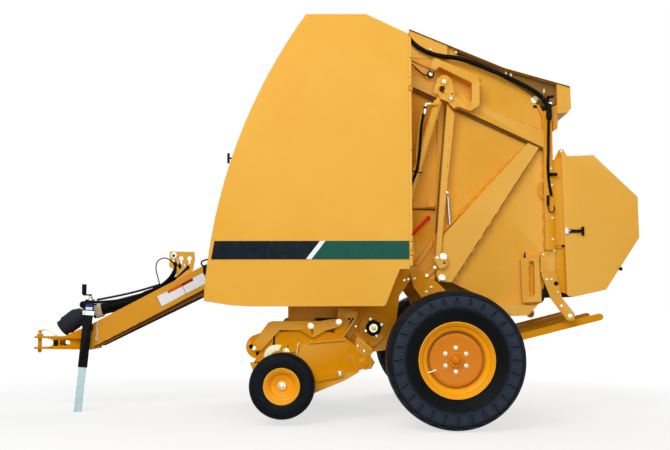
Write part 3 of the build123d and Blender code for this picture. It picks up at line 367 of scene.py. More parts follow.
# Mesh helpers
def piece(name, bm, look, body, smooth_angle=35.0):
    """Object from a mesh in metres, riding on a body."""
    mesh = bpy.data.meshes.new(name)
    bmesh.ops.recalc_face_normals(bm, faces=bm.faces)
    bm.to_mesh(mesh)
    bm.free()
    return placed(name, mesh, look, body, smooth_angle)


def placed(name, mesh, look, body, smooth_angle):
    """Object of a finished mesh, with its look, riding on a body if one is named."""
    obj = new_object(name, mesh)
    mesh.materials.clear()
    mesh.materials.append(MATERIALS[look])
    mesh.shade_smooth()
    mesh.set_sharp_from_angle(angle=math.radians(smooth_angle))
    if body:
        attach(obj, body)
    return obj


def sided(body, side_name):
    """Body's name on one side of the machine, where it ends in a star."""
    return body.replace("*", side_name)


def on_sides(name, look, body, fill):
    """Piece on each side, whose mesh a function of the mesh and the side fills."""
    for side_name, side in SIDES:
        bm = bmesh.new()
        fill(bm, side)
        piece(name + "_" + side_name, bm, look, sided(body, side_name))


def join(bm, first, second):
    """Closed solid between two rings of corners."""
    bm.faces.new(first)
    bm.faces.new(second)
    for index in range(len(first)):
        after = (index + 1) % len(first)
        bm.faces.new((first[index], first[after], second[after], second[index]))


def prism(bm, points, near, far, side):
    """Outline of X and Z in millimetres, between two distances from the centre plane."""
    join(bm, *([bm.verts.new(at(x, side * out, z)) for x, z in points] for out in (near, far)))


def revolve(bm, origin, axis, profile, steps, shape=None, closed=False):
    """Profile of radius and distance along an axis, in millimetres, turned about the axis."""
    axis = axis.normalized()
    across = axis.orthogonal().normalized()
    upward = axis.cross(across)
    rings = []
    for radius, along in profile:
        if radius < 0.01:
            rings.append([bm.verts.new(origin + axis * along * MM)])
            continue
        ring = []
        for step in range(steps):
            angle = math.tau * step / steps
            reach, height = shape(angle, radius, along) if shape else (radius, along)
            spoke = across * math.cos(angle) + upward * math.sin(angle)
            ring.append(bm.verts.new(origin + (spoke * reach + axis * height) * MM))
        rings.append(ring)
    pairs = list(zip(rings, rings[1:]))
    if closed:
        pairs.append((rings[-1], rings[0]))
    for first, second in pairs:
        for step in range(steps):
            after = (step + 1) % steps
            if len(first) == 1 and len(second) == 1:
                continue
            if len(first) == 1:
                bm.faces.new((first[0], second[step], second[after]))
            elif len(second) == 1:
                bm.faces.new((first[step], first[after], second[0]))
            else:
                bm.faces.new((first[step], first[after], second[after], second[step]))


def turned(bm, place, out, side, profile, steps, shape=None, closed=False):
    """Profile turned about a line along Y, outwards from a distance off the centre plane."""
    origin = at(place[0], side * out, place[1])
    revolve(bm, origin, Vector((0, side, 0)), profile, steps, shape, closed)


def pipes(name, look, body, routes, smooth_angle=50.0):
    """Round tubes along smooth curves, in one mesh, from rows of a radius and control points."""
    data = bpy.data.curves.new(name, "CURVE")
    data.dimensions = "3D"
    data.bevel_depth = MM
    data.bevel_resolution = 3
    data.resolution_u = 6
    data.use_fill_caps = True
    for radius, points in routes:
        spline = data.splines.new("NURBS")
        spline.points.add(len(points) - 1)
        for knot, point in zip(spline.points, points):
            knot.co = (*at(*point), 1.0)
            knot.radius = radius
        spline.order_u = min(len(points), 3)
        spline.use_endpoint_u = True
    curve = new_object(name + "_route", data)
    mesh = bpy.data.meshes.new_from_object(curve)
    bpy.data.objects.remove(curve)
    mesh.name = name
    return placed(name, mesh, look, body, smooth_angle)


def flat_route(side, out, points):
    """Control points at one distance from the centre plane."""
    return [(x, side * out, z) for x, z in points]


# Fasteners: kinds as parts of so many sides, with rows of radius and height as shares of the size
FASTENERS = {
    "hex": ((20, ((0, 0), (1.45, 0), (1.45, 0.16), (1.2, 0.28), (0, 0.28))),
            (6, ((0, 0.2), (1, 0.2), (1, 0.85), (0.86, 1), (0, 1)))),
    "washer": ((28, ((0, 0), (1.7, 0), (1.7, 0.16), (1.6, 0.22), (0, 0.22))),
               (6, ((0, 0.18), (1.05, 0.18), (1.05, 0.7), (0.9, 0.84), (0, 0.84))),
               (14, ((0, 0.8), (0.55, 0.8), (0.55, 1.1), (0.45, 1.2), (0, 1.2)))),
    "dome": ((22, ((0, 0), (1.25, 0), (1.25, 0.16), (1.08, 0.42), (0.75, 0.7), (0.38, 0.84),
                   (0, 0.88))),),
    # Flat black disc that stands for a hole's dark inside: painted shade
    "hole": ((20, ((0, 0.03), (1, 0.03), (1, 0), (0, 0))),),
}

# Bolts by body and look: kind, size, distance out of the face they sit on, and their places
BOLTS = {
    ("frame", "zinc"): (
        ("dome", 10, 652, ((533, 855), (502, 825), (425, 911), (656, 742), (640, 640))),
        ("hex", 8, 662, ((560, 983), (505, 930))),
        ("hex", 6, 598, ((43, 600), (363, 902), (390, 909))),
        ("hex", 9, 598, ((-500, 1140), (-500, 1240), (-500, 1500), (-560, 1140))),
        ("hex", 12, 80, ((-1850, 480), (-1850, 540))),
        ("hex", 9, 140, ((-780, 1040), (-780, 1090), (-760, 1010)))),
    ("gate", "zinc"): (
        ("dome", 12, 731.5, ((667, 2084),)),
        ("washer", 7, 741.5, ((624, 2196),)),
        ("washer", 14, 690, ((612, 1051),)),
        ("washer", 14, 670, ((604, 914),)),
        ("dome", 10, 682, ((640, 1471),)),
        ("dome", 8, 640, ((715, 2415), (546, 2436), (1268, 1067), (1338, 1092))),
        ("hex", 8, 622, ((1166, 1003), (1166, 912), (1166, 818))),
        ("dome", 8, 650, ((1283, 905), (1316, 905))),
        ("hex", 10, 650, ((1431, 669),)),
        ("washer", 13, 612, ((1237, 2100),)),
        ("dome", 9, 645, ((1395, 1745),))),
    ("gate", "black"): (
        ("hole", 6, 731.5, ((676, 2115),)),
        ("hole", 8, 690, ((617, 1011),)),
        ("hole", 15, 650, ((1345, 879),)),
        ("hole", 11, 613, ((869, 2233),))),
    ("gate", "steel"): (
        ("hex", 9, 690, ((573, 1042),)),
        ("hex", 6, 661, ((1325, 1631), (1329, 1522), (1328, 1306), (1328, 1165))),
        ("dome", 6, 642, ((1046, 690),))),
    ("gate", "passivated"): (("dome", 8, 650, ((1353, 823),)),),
    ("net_cover", "zinc"): (("dome", 9, 660, ((1395, 1745),)),),
    ("pickup", "zinc"): (
        ("dome", 15, 764, ((-58, 309),)),
        ("washer", 12, 766, ((-66, 632),)),
        ("dome", 10, 745, ((56, 480), (99, 446)))),
    ("pickup", "steel"): (("dome", 8, 752, ((2, 408),)),),
    ("pickup", "black"): (("hole", 5, 752, ((-390, 478),)),),
    ("windguard", "zinc"): (
        ("washer", 12, 762, ((-245, 606),)),
        ("hex", 9, 762, ((-604, 463),))),
    ("shield_*", "black"): (("hole", 4, 935, ((391, 1180), (391, 1710), (391, 2300))),),
}


def fasten(bm, kind, size, place, out, side):
    """Fastener of a kind and size on one side."""
    for steps, profile in FASTENERS[kind]:
        rows = [(radius * size, height * size) for radius, height in profile]
        turned(bm, place, out, side, rows, steps)


def add_fasteners():
    """Bolts, nuts and small round holes on both sides, one mesh for each body and look."""
    meshes = {}
    for (body, look), rows in BOLTS.items():
        for kind, size, out, places in rows:
            for side_name, side in SIDES:
                bm = meshes.setdefault((sided(body, side_name), look), bmesh.new())
                for place in places:
                    fasten(bm, kind, size, place, out, side)
    for (body, look), bm in meshes.items():
        piece("bolts_" + body + "_" + look, bm, look, body)


# Weld beads: body, distance out, first and last point, number of stitches along the line
WELDS = (
    ("gate", 661, (700, 1322), (1160, 1788), 8),
    ("gate", 661, (690, 908), (1180, 1676), 9),
    ("gate", 661, (420, 2264), (1300, 1872), 10),
    ("gate", 613, (1274, 1120), (1274, 1760), 7),
    ("gate", 683, (600, 1100), (664, 1900), 9),
    ("gate", 613, (965, 755), (1210, 738), 4),
    ("gate", 613, (820, 2240), (560, 2364), 4),
    ("frame", 653, (480, 800), (560, 560), 4),
    ("frame", 599, (430, 1374), (550, 1374), 3),
    ("frame", 599, (0, 520), (210, 500), 4),
    ("frame", 141, (-1800, 452), (-1440, 640), 6),
    ("pickup", 741, (-466, 430), (-474, 540), 2),
    ("pickup", 753, (-250, 494), (-40, 512), 4),
)
WELD_RADIUS = 3.4
WELD_LENGTH = 34.0
WELD_STEP = 3.4


def add_welds():
    """Rippled weld beads in stitches."""
    meshes = {}
    ripples = int(WELD_LENGTH / WELD_STEP)
    profile = [(0, 0)]
    for ripple in range(ripples):
        profile.append((WELD_RADIUS, (ripple + 0.35) * WELD_STEP))
        profile.append((WELD_RADIUS * 0.82, (ripple + 0.95) * WELD_STEP))
    profile.append((0, WELD_LENGTH))
    for body, out, first, last, count in WELDS:
        bm = meshes.setdefault(body, bmesh.new())
        for _, side in SIDES:
            start, end = at(first[0], side * out, first[1]), at(last[0], side * out, last[1])
            for index in range(count):
                revolve(bm, start.lerp(end, index / count), end - start, profile, 8)
    for body, bm in meshes.items():
        piece("welds_" + body, bm, "frame" if body == "gate" else "lower", body, 80.0)


# Main wheels: tyre with shoulder notches and ribs, and rolled rim with its disc
TYRE_CENTRE = (WHEEL_X, WHEEL_Z)
WHEEL_OUT = 1025.0
LUG_COUNT = 28
STEPS_PER_LUG = 24
NOTCH_IN, NOTCH_OUT = 317.0, 373.0
NOTCH_DEPTH = 14.0
SHOULDER_OUT = 183.0
LINE_DEPTH = 4.5
LINE_HALF = 0.045
RIDGE = (381.0, 400.0)
RIDGE_WAVE = 3.6
CROWN = [(415, 0), (415, 33), (405, 36), (405, 45), (415, 48), (415, 84), (404, 88), (404, 98),
         (414, 102), (413, 118), (410, 134), (406, 145), (401, 153), (398, 155), (396, 156),
         (393, 163), (391, 172), (389, 176.5), (386, 178), (384, 175), (382, 173), (379, 179),
         (376.5, 184)]
LUG_RINGS = [(375, 186), (371, 188), (367, 189.4), (362, 190), (357, 190), (352, 190), (347, 190),
             (342, 190), (337, 190), (332, 189.8), (327, 189.4), (322, 188.8), (318, 188), (315, 187)]
SIDEWALL = [(310, 184.6), (307, 181.5), (303, 180.5), (297, 178.5), (286, 175), (272, 169.5),
            (258, 162.5), (247, 156.5), (240, 153), (236, 153.4), (232, 151.5), (230, 148), (209, 134.5)]
CASING = [(300, 140), (380, 158)]


def tyre_shape(angle, radius, out):
    """Notches of the lugs and the wave of the ridge outside them."""
    turn = (angle * LUG_COUNT / math.tau) % 1.0 - 0.5
    away = abs(turn)
    if RIDGE[0] < radius < RIDGE[1]:
        radius += RIDGE_WAVE * math.cos(math.tau * turn)
    share = (radius - NOTCH_IN) / (NOTCH_OUT - NOTCH_IN)
    if 0 < share < 1 and abs(out) > SHOULDER_OUT:
        wedge = 0.17 * (1 - share) + 0.03
        depth = NOTCH_DEPTH * max(0.0, min(1.0, (wedge - away) / 0.05)) * min(1.0, 4 * share)
        line = 0.13 + 0.27 * (1 - share)
        depth = max(depth, LINE_DEPTH * max(0.0, 1 - abs(away - line) / LINE_HALF))
        out -= math.copysign(depth, out)
    return radius, out


RIM_FRONT = [
    (208, 134), (222, 142), (228, 149), (228, 154), (226.5, 157), (223.5, 158), (220, 157),
    (218, 154), (216, 150), (213, 146.5), (209, 145.5), (206, 143), (203.5, 137), (201, 131),
    (198, 127), (193, 124), (187, 121), (181, 117), (176, 112), (172.5, 104), (170.5, 92),
    (169.5, 72), (161, 72), (160, 82), (158, 87), (154, 89.8), (147, 91), (140, 91),
    (128, 90.2), (100, 88.6), (60, 88.2), (48, 88),
    (46.5, 90), (46, 97), (44.5, 100.5), (41, 102.5), (36, 102.5), (32, 101), (29, 100.4),
    (28.5, 104), (27.6, 109), (25, 114.5), (20, 119), (13, 122.3), (6, 123.8), (0, 124.2),
]
RIM_BACK = [
    (0, 0), (32.05, 0), (32.05, -120), (60, -120), (60, 74), (158, 74), (168, 54), (186, 60),
    (195, 40), (197, -30), (198, -140), (206, -146), (214, -149), (218, -156), (224, -158),
    (228, -155), (228, -149), (222, -142), (208, -134),
]
RIM_GROOVE_SHADE = ((161.4, 72.4), (169.1, 72.4), (169.1, 78), (161.4, 78))
NUT_COUNT = 6
NUT_CIRCLE = 71.0
NUT_OUT = WHEEL_OUT + 88.3
NUT_FOOT = ((0, 0), (13.5, 0), (13.5, 3), (11, 4.5), (0, 4.5))
NUT_HEAD = ((0, 4), (10.5, 4), (10.5, 12), (8, 15), (4, 16.5), (0, 17))
STEM_START, STEM_END = (-168, 119, -74), (-122, 125, -56)
STEM = ((0, 0), (6, 0), (6, 10), (3.6, 12), (3.6, 34), (4.8, 35), (4.8, 48), (3.5, 51), (0, 51))
GAUGE_CENTRE = (-415.0, 242.0)
GAUGE_OUT = 890.0
GAUGE_TYRE = [
    (204, 0), (204, 30), (203.2, 42), (200.5, 54), (196, 61), (194.5, 61), (191, 65), (184, 70),
    (175, 73.4), (163, 75), (150, 75), (138, 74), (126, 71.4), (118, 68.2), (114.4, 65.5),
    (113.5, 62), (92, 50),
]
GAUGE_FRONT = [
    (91, 58), (108, 59), (113, 61), (113.6, 64), (112, 66), (107, 66), (101, 63.5), (97.5, 58),
    (95.5, 50), (92, 43.5), (86, 40), (80, 38.6), (76.5, 36), (74, 29), (70, 22.5), (64, 19.6),
    (55, 18.6), (49, 17.6), (45, 13.6), (40, 11.6), (33, 11), (30, 13), (29, 19), (26, 21),
    (16.05, 21),
]
GAUGE_BACK = [
    (16.05, -45), (30, -45), (30, -8), (82, -8), (86, -20), (88, -60), (92, -66), (110, -66),
    (113.5, -64), (113, -60), (91, -58),
]
HUB_CAP = ((0, 21), (24, 21), (24, 25), (19, 27.5), (15, 27.5), (15, 34), (12, 39), (6, 41), (0, 41.5))


def both_faces(half):
    """Section of a ring from half of it, mirrored in the wheel's middle plane."""
    return half + [(radius, -out) for radius, out in half[::-1] if out > 0]


# Turned nodes: node, look, body, centre, distance out, section, steps, shape, whether it closes
WHEEL_PARTS = (
    ("tyre_", "tyre", "wheel_", TYRE_CENTRE, WHEEL_OUT,
     both_faces(CROWN + LUG_RINGS + SIDEWALL + CASING), LUG_COUNT * STEPS_PER_LUG, tyre_shape, True),
    ("rim_", "rim", "wheel_", TYRE_CENTRE, WHEEL_OUT, RIM_FRONT + RIM_BACK, 112, None, False),
    ("gauge_tyre_", "small_tyre", "gauge_wheel_", GAUGE_CENTRE, GAUGE_OUT, both_faces(GAUGE_TYRE),
     96, None, True),
    ("gauge_wheel_", "rim", "gauge_wheel_", GAUGE_CENTRE, GAUGE_OUT, GAUGE_FRONT + GAUGE_BACK,
     80, None, True),
)


def on_wheel(side, across, out, up):
    """Point in metres of a place from a main wheel's centre."""
    return at(TYRE_CENTRE[0] + across, side * (WHEEL_OUT + out), TYRE_CENTRE[1] + up)


def add_wheels():
    """Tyres and rims of the main and gauge wheels, in place of the CAD's plain ones."""
    for name, side in SIDES:
        for node, look, body, centre, out, profile, steps, shape, closed in WHEEL_PARTS:
            bm = bmesh.new()
            turned(bm, centre, out, side, profile, steps, shape, closed)
            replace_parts(piece("turned_" + node + name, bm, look, body + name, 30.0), node + name)
        # Dark ring in the groove around the disc: painted shade
        groove = bmesh.new()
        turned(groove, TYRE_CENTRE, WHEEL_OUT, side, RIM_GROOVE_SHADE, 96, None, True)
        piece("rim_groove_" + name, groove, "shade", "wheel_" + name)
        nuts = bmesh.new()
        for index in range(NUT_COUNT):
            angle = math.tau * (index + 0.5) / NUT_COUNT
            place = (TYRE_CENTRE[0] + NUT_CIRCLE * math.cos(angle),
                     TYRE_CENTRE[1] + NUT_CIRCLE * math.sin(angle))
            turned(nuts, place, NUT_OUT, side, NUT_FOOT, 20)
            turned(nuts, place, NUT_OUT, side, NUT_HEAD, 6)
        piece("wheel_nuts_" + name, nuts, "zinc", "wheel_" + name)
        stem = bmesh.new()
        start, end = on_wheel(side, *STEM_START), on_wheel(side, *STEM_END)
        revolve(stem, start, end - start, STEM, 14)
        piece("valve_stem_" + name, stem, "zinc", "wheel_" + name)
        cap = bmesh.new()
        turned(cap, GAUGE_CENTRE, GAUGE_OUT, side, HUB_CAP, 28)
        piece("gauge_hub_cap_" + name, cap, "zinc", "pickup")


# Chamber bearing behind the pickup, its flange with four lobes and its zinc cap
BEARING = (159.0, 590.0)
BEARING_BOLTS = ((-20, 59), (54, 23), (21, -52), (-50, -18))
BEARING_BOLT_SIZE = 8
BEARING_REACH = 50.0
BEARING_NEAR, BEARING_FAR = 610, 617
LOBE = 17.0
LOBE_WIDTH = 0.2
BEARING_STEPS = 96
BEARING_RING = ((28, 0), (47, 0), (45, 9), (43, 12), (36, 14), (28, 14))
BEARING_CAP_OUT = 646
BEARING_CAP = ((0, 0), (28, 0), (28, 2), (25, 3), (22, 2.4), (14, 3), (12, 7), (7, 9), (0, 9.5))


def add_bearings():
    """Black flange bearing with its cap and bolts on each front wall."""
    lobes = [math.atan2(z, x) for x, z in BEARING_BOLTS]
    outline = []
    for step in range(BEARING_STEPS):
        angle = math.tau * step / BEARING_STEPS
        reach = BEARING_REACH
        for lobe in lobes:
            turn = (angle - lobe + math.pi) % math.tau - math.pi
            reach += LOBE * math.exp(-(turn / LOBE_WIDTH) ** 2)
        outline.append((BEARING[0] + reach * math.cos(angle), BEARING[1] + reach * math.sin(angle)))

    def flange(bm, side):
        prism(bm, outline, BEARING_NEAR, BEARING_FAR, side)
        turned(bm, BEARING, BEARING_FAR, side, BEARING_RING, 48, None, True)

    def cap(bm, side):
        turned(bm, BEARING, BEARING_CAP_OUT, side, BEARING_CAP, 36)
        for x, z in BEARING_BOLTS:
            place = (BEARING[0] + x, BEARING[1] + z)
            fasten(bm, "hex", BEARING_BOLT_SIZE, place, BEARING_FAR, side)

    on_sides("bearing_flange", "plastic", "frame", flange)
    on_sides("bearing_cap", "passivated", "frame", cap)


# Flat pieces by body: name, look, near and far distance, outline; a star stands for the side
PLATES = {
    "pickup": (
        ("crescent", "passivated", 744, 747,
         ((-543, 408), (-541, 432), (-530, 456), (-512, 474), (-491, 484), (-465, 488), (-433, 487),
          (-436, 458), (-452, 448), (-475, 445), (-490, 438), (-498, 425), (-502, 408))),
        ("roller_guard", "lower", 734, 740,
         ((-576, 432), (-613, 371), (-480, 371), (-470, 560), (-500, 560), (-545, 480))),
        ("v_shadow", "black", 737, 739.5, ((-22, 664), (46, 664), (12, 608))),
        ("v_bracket", "frame", 740, 744,
         ((-51, 700), (56, 700), (50, 661), (14, 606), (-35, 534), (-43, 542), (2, 608), (9, 618),
          (38, 660), (-15, 660), (3, 632), (-3, 624), (-25, 661))),
        ("pivot_plate", "lower", 740, 745,
         ((42, 528), (58, 540), (150, 462), (155, 440), (119, 413), (69, 423), (41, 454)))),
    "gate": (
        ("channel_shade", "shade", 612, 640, ((700, 2048), (1279, 1770), (1279, 1754), (700, 2026))),
        ("channel_shade_front", "shade", 612, 640, ((404, 2190), (606, 2093), (606, 2070), (404, 2166))),
        ("post_shade", "shade", 612, 636,
         ((647, 2060), (606, 1591), (575, 1210), (567, 1210), (597, 1591), (638, 2060))),
        ("diagonal_shade", "shade", 612, 618,
         ((1248, 1768), (1196, 1688), (987, 1375), (669, 889), (676, 886), (993, 1371), (1202, 1684),
          (1253, 1763))),
        # Deeper paint on the slot's floor: painted shade
        ("slot_floor_shade", "lower", 620, 623.5,
         ((1165, 1000), (1171, 1019), (1185, 1026), (1199, 1019), (1205, 1003), (1205, 813),
          (1199, 798), (1185, 791), (1171, 798), (1165, 813))),
        # Dark plate behind the crank's slot: painted shade
        ("crank_slot_shade", "shade", 731.5, 732.5,
         ((594, 2164), (622, 2168), (631, 2150), (614, 2124), (592, 2130))),
        ("front_lip", "lower", 604, 612, ((578, 1060), (602, 1045), (602, 2085), (590, 2085))),
        ("post_face", "lower", 660, 661.2, ((1280, 1098), (1337, 1098), (1337, 1986), (1280, 1986))),
        ("beam_flange", "lower", 612, 640,
         ((606, 1199), (606, 1227), (988, 1618), (1130, 1762), (1152, 1762), (1134, 1730))),
        ("net_side", "lower", 644, 648,
         ((1340, 1122), (1404, 1132), (1436, 1132), (1436, 1700), (1404, 1712), (1340, 1672))),
        ("net_lower_side", "lower", 620, 626,
         ((1340, 1104), (1436, 1122), (1436, 806), (1380, 824), (1345, 840))),
        # Black block low between the net cover and the gate: painted shade
        ("net_shadow_block", "plastic", 600, 620, ((1350, 838), (1424, 838), (1424, 812), (1350, 815))),
        ("hinge_panel", "frame", 612, 634,
         ((406, 2384), (600, 2384), (600, 2300), (574, 2292), (406, 2374))),
        ("hinge_brace", "lower", 612, 634,
         ((1246, 2056), (1260, 2064), (1301, 1978), (1300, 1914), (1278, 1914), (1286, 1964))),
        ("hinge_foot", "plastic", 612, 620, ((1227, 2062), (1246, 2062), (1250, 2045), (1223, 2045))),
        ("rear_hook", "lower", 600, 640, ((1348, 1955), (1379, 1955), (1378, 1902), (1346, 1881))),
        # Dark band under the roof's overhang: painted shade
        ("roof_edge_shade", "shade", 640, 652,
         ((404, 2573), (1029, 2308), (1462, 2181), (1462, 2176), (1028, 2303), (404, 2568))),
        ("roof_shade", "shade", 594, 600,
         ((665, 2450), (1028, 2298), (1376, 2196), (1376, 2066), (1262, 2056), (1206, 2138),
          (1136, 2186), (998, 2268), (812, 2339), (665, 2420))),
        ("latch_plate", "frame", 660, 670,
         ((570, 960), (585, 973), (600, 966), (632, 926), (628, 900), (610, 889), (580, 893),
          (566, 930))),
        ("rear_block", "plastic", 612, 638, ((1261, 844), (1311, 844), (1310, 811), (1259, 779))),
        ("front_clip", "plastic", 648, 658, ((1138, 1044), (1150, 1047), (1149, 1082), (1141, 1082))),
        ("rear_clip", "plastic", 630, 640, ((1278, 1092), (1290, 1096), (1289, 1130), (1281, 1130))),
        ("top_strip", "frame", 640, 643, ((1252, 1050), (1254, 1084), (1350, 1112), (1350, 1080))),
        ("roof_clip_front", "beige", 628, 640, ((1037, 2258), (1050, 2258), (1048, 2284), (1039, 2284))),
        ("roof_clip_middle", "beige", 628, 640, ((1070, 2246), (1083, 2246), (1081, 2274), (1072, 2274))),
        ("roof_clip_rear", "beige", 628, 640, ((1287, 2140), (1301, 2140), (1298, 2168), (1290, 2168)))),
    "frame": (
        ("tongue_shade", "shade", 100, 134, ((-1810, 441), (-1032, 847), (-1032, 812), (-1790, 443))),
        ("wall_bracket", "lower", 598, 602, ((515, 1410), (571, 1414), (571, 1384), (515, 1376))),
        # Dark line along the frame wall: painted shade
        ("wall_shade_line", "shade", 598, 600, ((414, 1370), (571, 1372), (571, 1362), (414, 1364))),
        ("wall_brace", "lower", 598, 602, ((426, 1024), (562, 1173), (565, 1130), (425, 991))),
        # Black rubber sheet over a gap in the chamber, standing in for its shadow: painted shade
        ("chamber_shadow_flap", "belt", 598, 704,
         ((-217, 656), (-72, 656), (-72, 640), (-166, 630), (-217, 630))),
        ("hitch_sign", "black", 80, 80.8, ((-2108, 490), (-2077, 490), (-2077, 448), (-2108, 448))),
        ("tongue_bracket", "black", 140, 148,
         ((-1038, 1022), (-1000, 1022), (-1000, 958), (-1034, 958)))),
    "net_cover": (
        ("strap", "plastic", 660, 672, ((1426, 1208), (1426, 1230), (1520, 1229), (1520, 1209))),
        ("strap_anchor", "white", 660, 674,
         ((1404, 1203), (1404, 1236), (1412, 1241), (1427, 1236), (1427, 1203), (1412, 1198))),
        ("strap_bracket", "lower", 660, 665, ((1488, 1196), (1488, 1242), (1510, 1246), (1510, 1192)))),
    "shield_*": (
        ("rear_flange_low", "cover", 930.6, 935, ((376, 985), (395, 985), (395, 1046), (376, 1046))),
        ("rear_flange", "cover", 930.6, 935, ((376, 1136), (395, 1136), (395, 2086), (376, 2086))),
        ("rear_flange_top", "cover", 930.6, 935, ((376, 2176), (395, 2176), (395, 2428), (376, 2450)))),
}
PLATE_EDGE = 0.0012


def add_plates():
    """Flat pieces on both sides, with softened edges."""
    def plate(bm, side):
        prism(bm, points, near, far, side)
        bmesh.ops.bevel(bm, geom=list(bm.edges), offset=PLATE_EDGE, segments=2, affect="EDGES")

    for body, rows in PLATES.items():
        for name, look, near, far, points in rows:
            on_sides(name, look, body, plate)


# Blank plates on the tongue: outline, and the strip's colour with its start and end along the top
SIGNS = (
    ("front_sign", "orange", 0.42, 1.0, ((-1363, 799), (-1190, 887), (-1157, 819), (-1328, 729))),
    ("rear_sign", "maroon", 0.0, 0.5, ((-1187, 889), (-1036, 967), (-1005, 898), (-1154, 821))),
)
SIGN_STRIP = 0.24
SIGN_EDGE = 1.03
SIGN_NEAR = 139.6
RIM_FAR, FACE_FAR, STRIP_FAR = 140.2, 140.6, 140.9


def add_signs():
    """White plates without words on the tongue's sides, with a dark rim and a strip of colour."""
    for name, look, start, end, outline in SIGNS:
        corners = [Vector(corner) for corner in outline]
        centre = sum(corners, Vector((0, 0))) / 4
        rim = [centre + (corner - centre) * SIGN_EDGE for corner in corners]
        first, second, third, fourth = corners
        top = (first.lerp(second, start), first.lerp(second, end))
        drop = (fourth - first) * SIGN_STRIP
        for part, part_look, points, far in (
                ("rim", "black", rim, RIM_FAR), ("face", "white", corners, FACE_FAR),
                ("strip", look, (*top, top[1] + drop, top[0] + drop), STRIP_FAR)):
            on_sides(name + "_" + part, part_look, "frame",
                     lambda bm, side: prism(bm, points, SIGN_NEAR, far, side))


# Rods, pipes and hoses in one plane, by body: name, look, radius, distance out, points
RODS = {
    "barrel_*": (
        ("cylinder_pipe", "frame", 7, 722,
         ((500, 2036), (474, 1996), (458, 1880), (446, 1780), (436, 1690), (452, 1640))),
        ("cylinder_port", "frame", 11, 735, ((582, 2044), (560, 2045), (532, 2046))),
        ("cylinder_elbow", "zinc", 9, 735,
         ((536, 2047), (516, 2049), (503, 2046), (499, 2036), (498, 2026))),
        ("cylinder_nut", "plastic", 11, 735, ((498, 2030), (497, 2014))),
        ("cylinder_ferrule", "zinc", 11, 735, ((497, 2014), (492, 1980))),
        ("cylinder_hose", "hose", 9, 735,
         ((492, 1996), (480, 1950), (470, 1880), (464, 1780), (456, 1690), (440, 1600), (405, 1530),
          (400, 1500), (420, 1560), (450, 1630))),
        ("cylinder_strap", "plastic", 4, 738, ((405, 1606), (440, 1600), (478, 1592)))),
    "gate": (
        ("upper_handle", "lower", 6, 648,
         ((1284, 1552), (1258, 1540), (1246, 1510), (1244, 1476), (1256, 1446), (1284, 1434))),
        ("rear_handle", "frame", 5, 643,
         ((1366, 1524), (1366, 1484), (1370, 1462), (1380, 1456), (1390, 1462), (1394, 1484),
          (1394, 1524))),
        ("release_rod", "black", 4, 648, ((420, 2335), (452, 2302), (494, 2266), (520, 2256), (545, 2262))),
        ("release_loop", "lower", 5, 640,
         ((420, 2318), (470, 2290), (520, 2240), (534, 2222), (500, 2216), (440, 2262), (420, 2276))),
        ("stay_tube", "steel", 9.5, 650, ((648, 1446), (652, 1380), (660, 1262))),
        ("post_wire", "maroon", 2, 693, ((1275, 2092), (1285, 2108), (1305, 2110), (1330, 2106))),
        ("bundle_sleeve", "plastic", 19, 679, ((1296, 2092), (1308, 2060), (1315, 2020), (1316, 1960))),
        ("bundle_fitting", "zinc", 8, 690, ((1312, 2062), (1332, 2058))),
        ("bundle_branch", "plastic", 10, 684, ((1302, 2098), (1326, 2104), (1346, 2104))),
        ("post_plug", "plastic", 11, 676, ((1312, 1590), (1336, 1590), (1360, 1590))),
        ("post_connector", "plastic", 9, 672, ((1299, 1453), (1299, 1420), (1298, 1385))),
        ("post_lead", "hose", 3.5, 672,
         ((1298, 1390), (1300, 1350), (1318, 1340), (1336, 1346), (1340, 1370), (1340, 1384)))),
    "frame": (("red_lever", "red", 10, 624, ((395, 1180), (470, 1256), (522, 1310))),),
    "net_cover": (
        ("strap_end", "plastic", 9, 668, ((1521, 1247), (1521, 1219), (1521, 1190))),
        ("strap_hook", "zinc", 3, 674, ((1404, 1222), (1420, 1221), (1440, 1220)))),
    "shield_*": (
        ("shield_stem", "plastic", 6, 922, ((-700, 1662), (-735, 1662), (-758, 1662))),
        ("shield_grip", "plastic", 8, 922, ((-758, 1694), (-760, 1662), (-758, 1630)))),
    "pickup": (
        ("pickup_clip", "zinc", 3.5, 757,
         ((-322, 498), (-332, 486), (-324, 470), (-336, 458), (-328, 444), (-340, 432), (-336, 415))),
        # Pale rods along the panel's folds and a pale rib on the pivot plate: painted highlight
        ("panel_edge_highlight", "cover", 2.2, 764, ((-262, 502), (-21, 523))),
        ("panel_corner_highlight", "cover", 2.0, 752, ((-20, 520), (3, 450), (63, 317))),
        ("pivot_rib_highlight", "cover", 7, 745, ((64, 524), (144, 452)))),
}


def add_rods():
    """Rods, pipes and hoses that are held all the way, on both sides."""
    for body, rows in RODS.items():
        for name, look, radius, out, points in rows:
            for side_name, side in SIDES:
                pipes(name + "_" + side_name, look, sided(body, side_name),
                      [(radius, flat_route(side, out, points))])


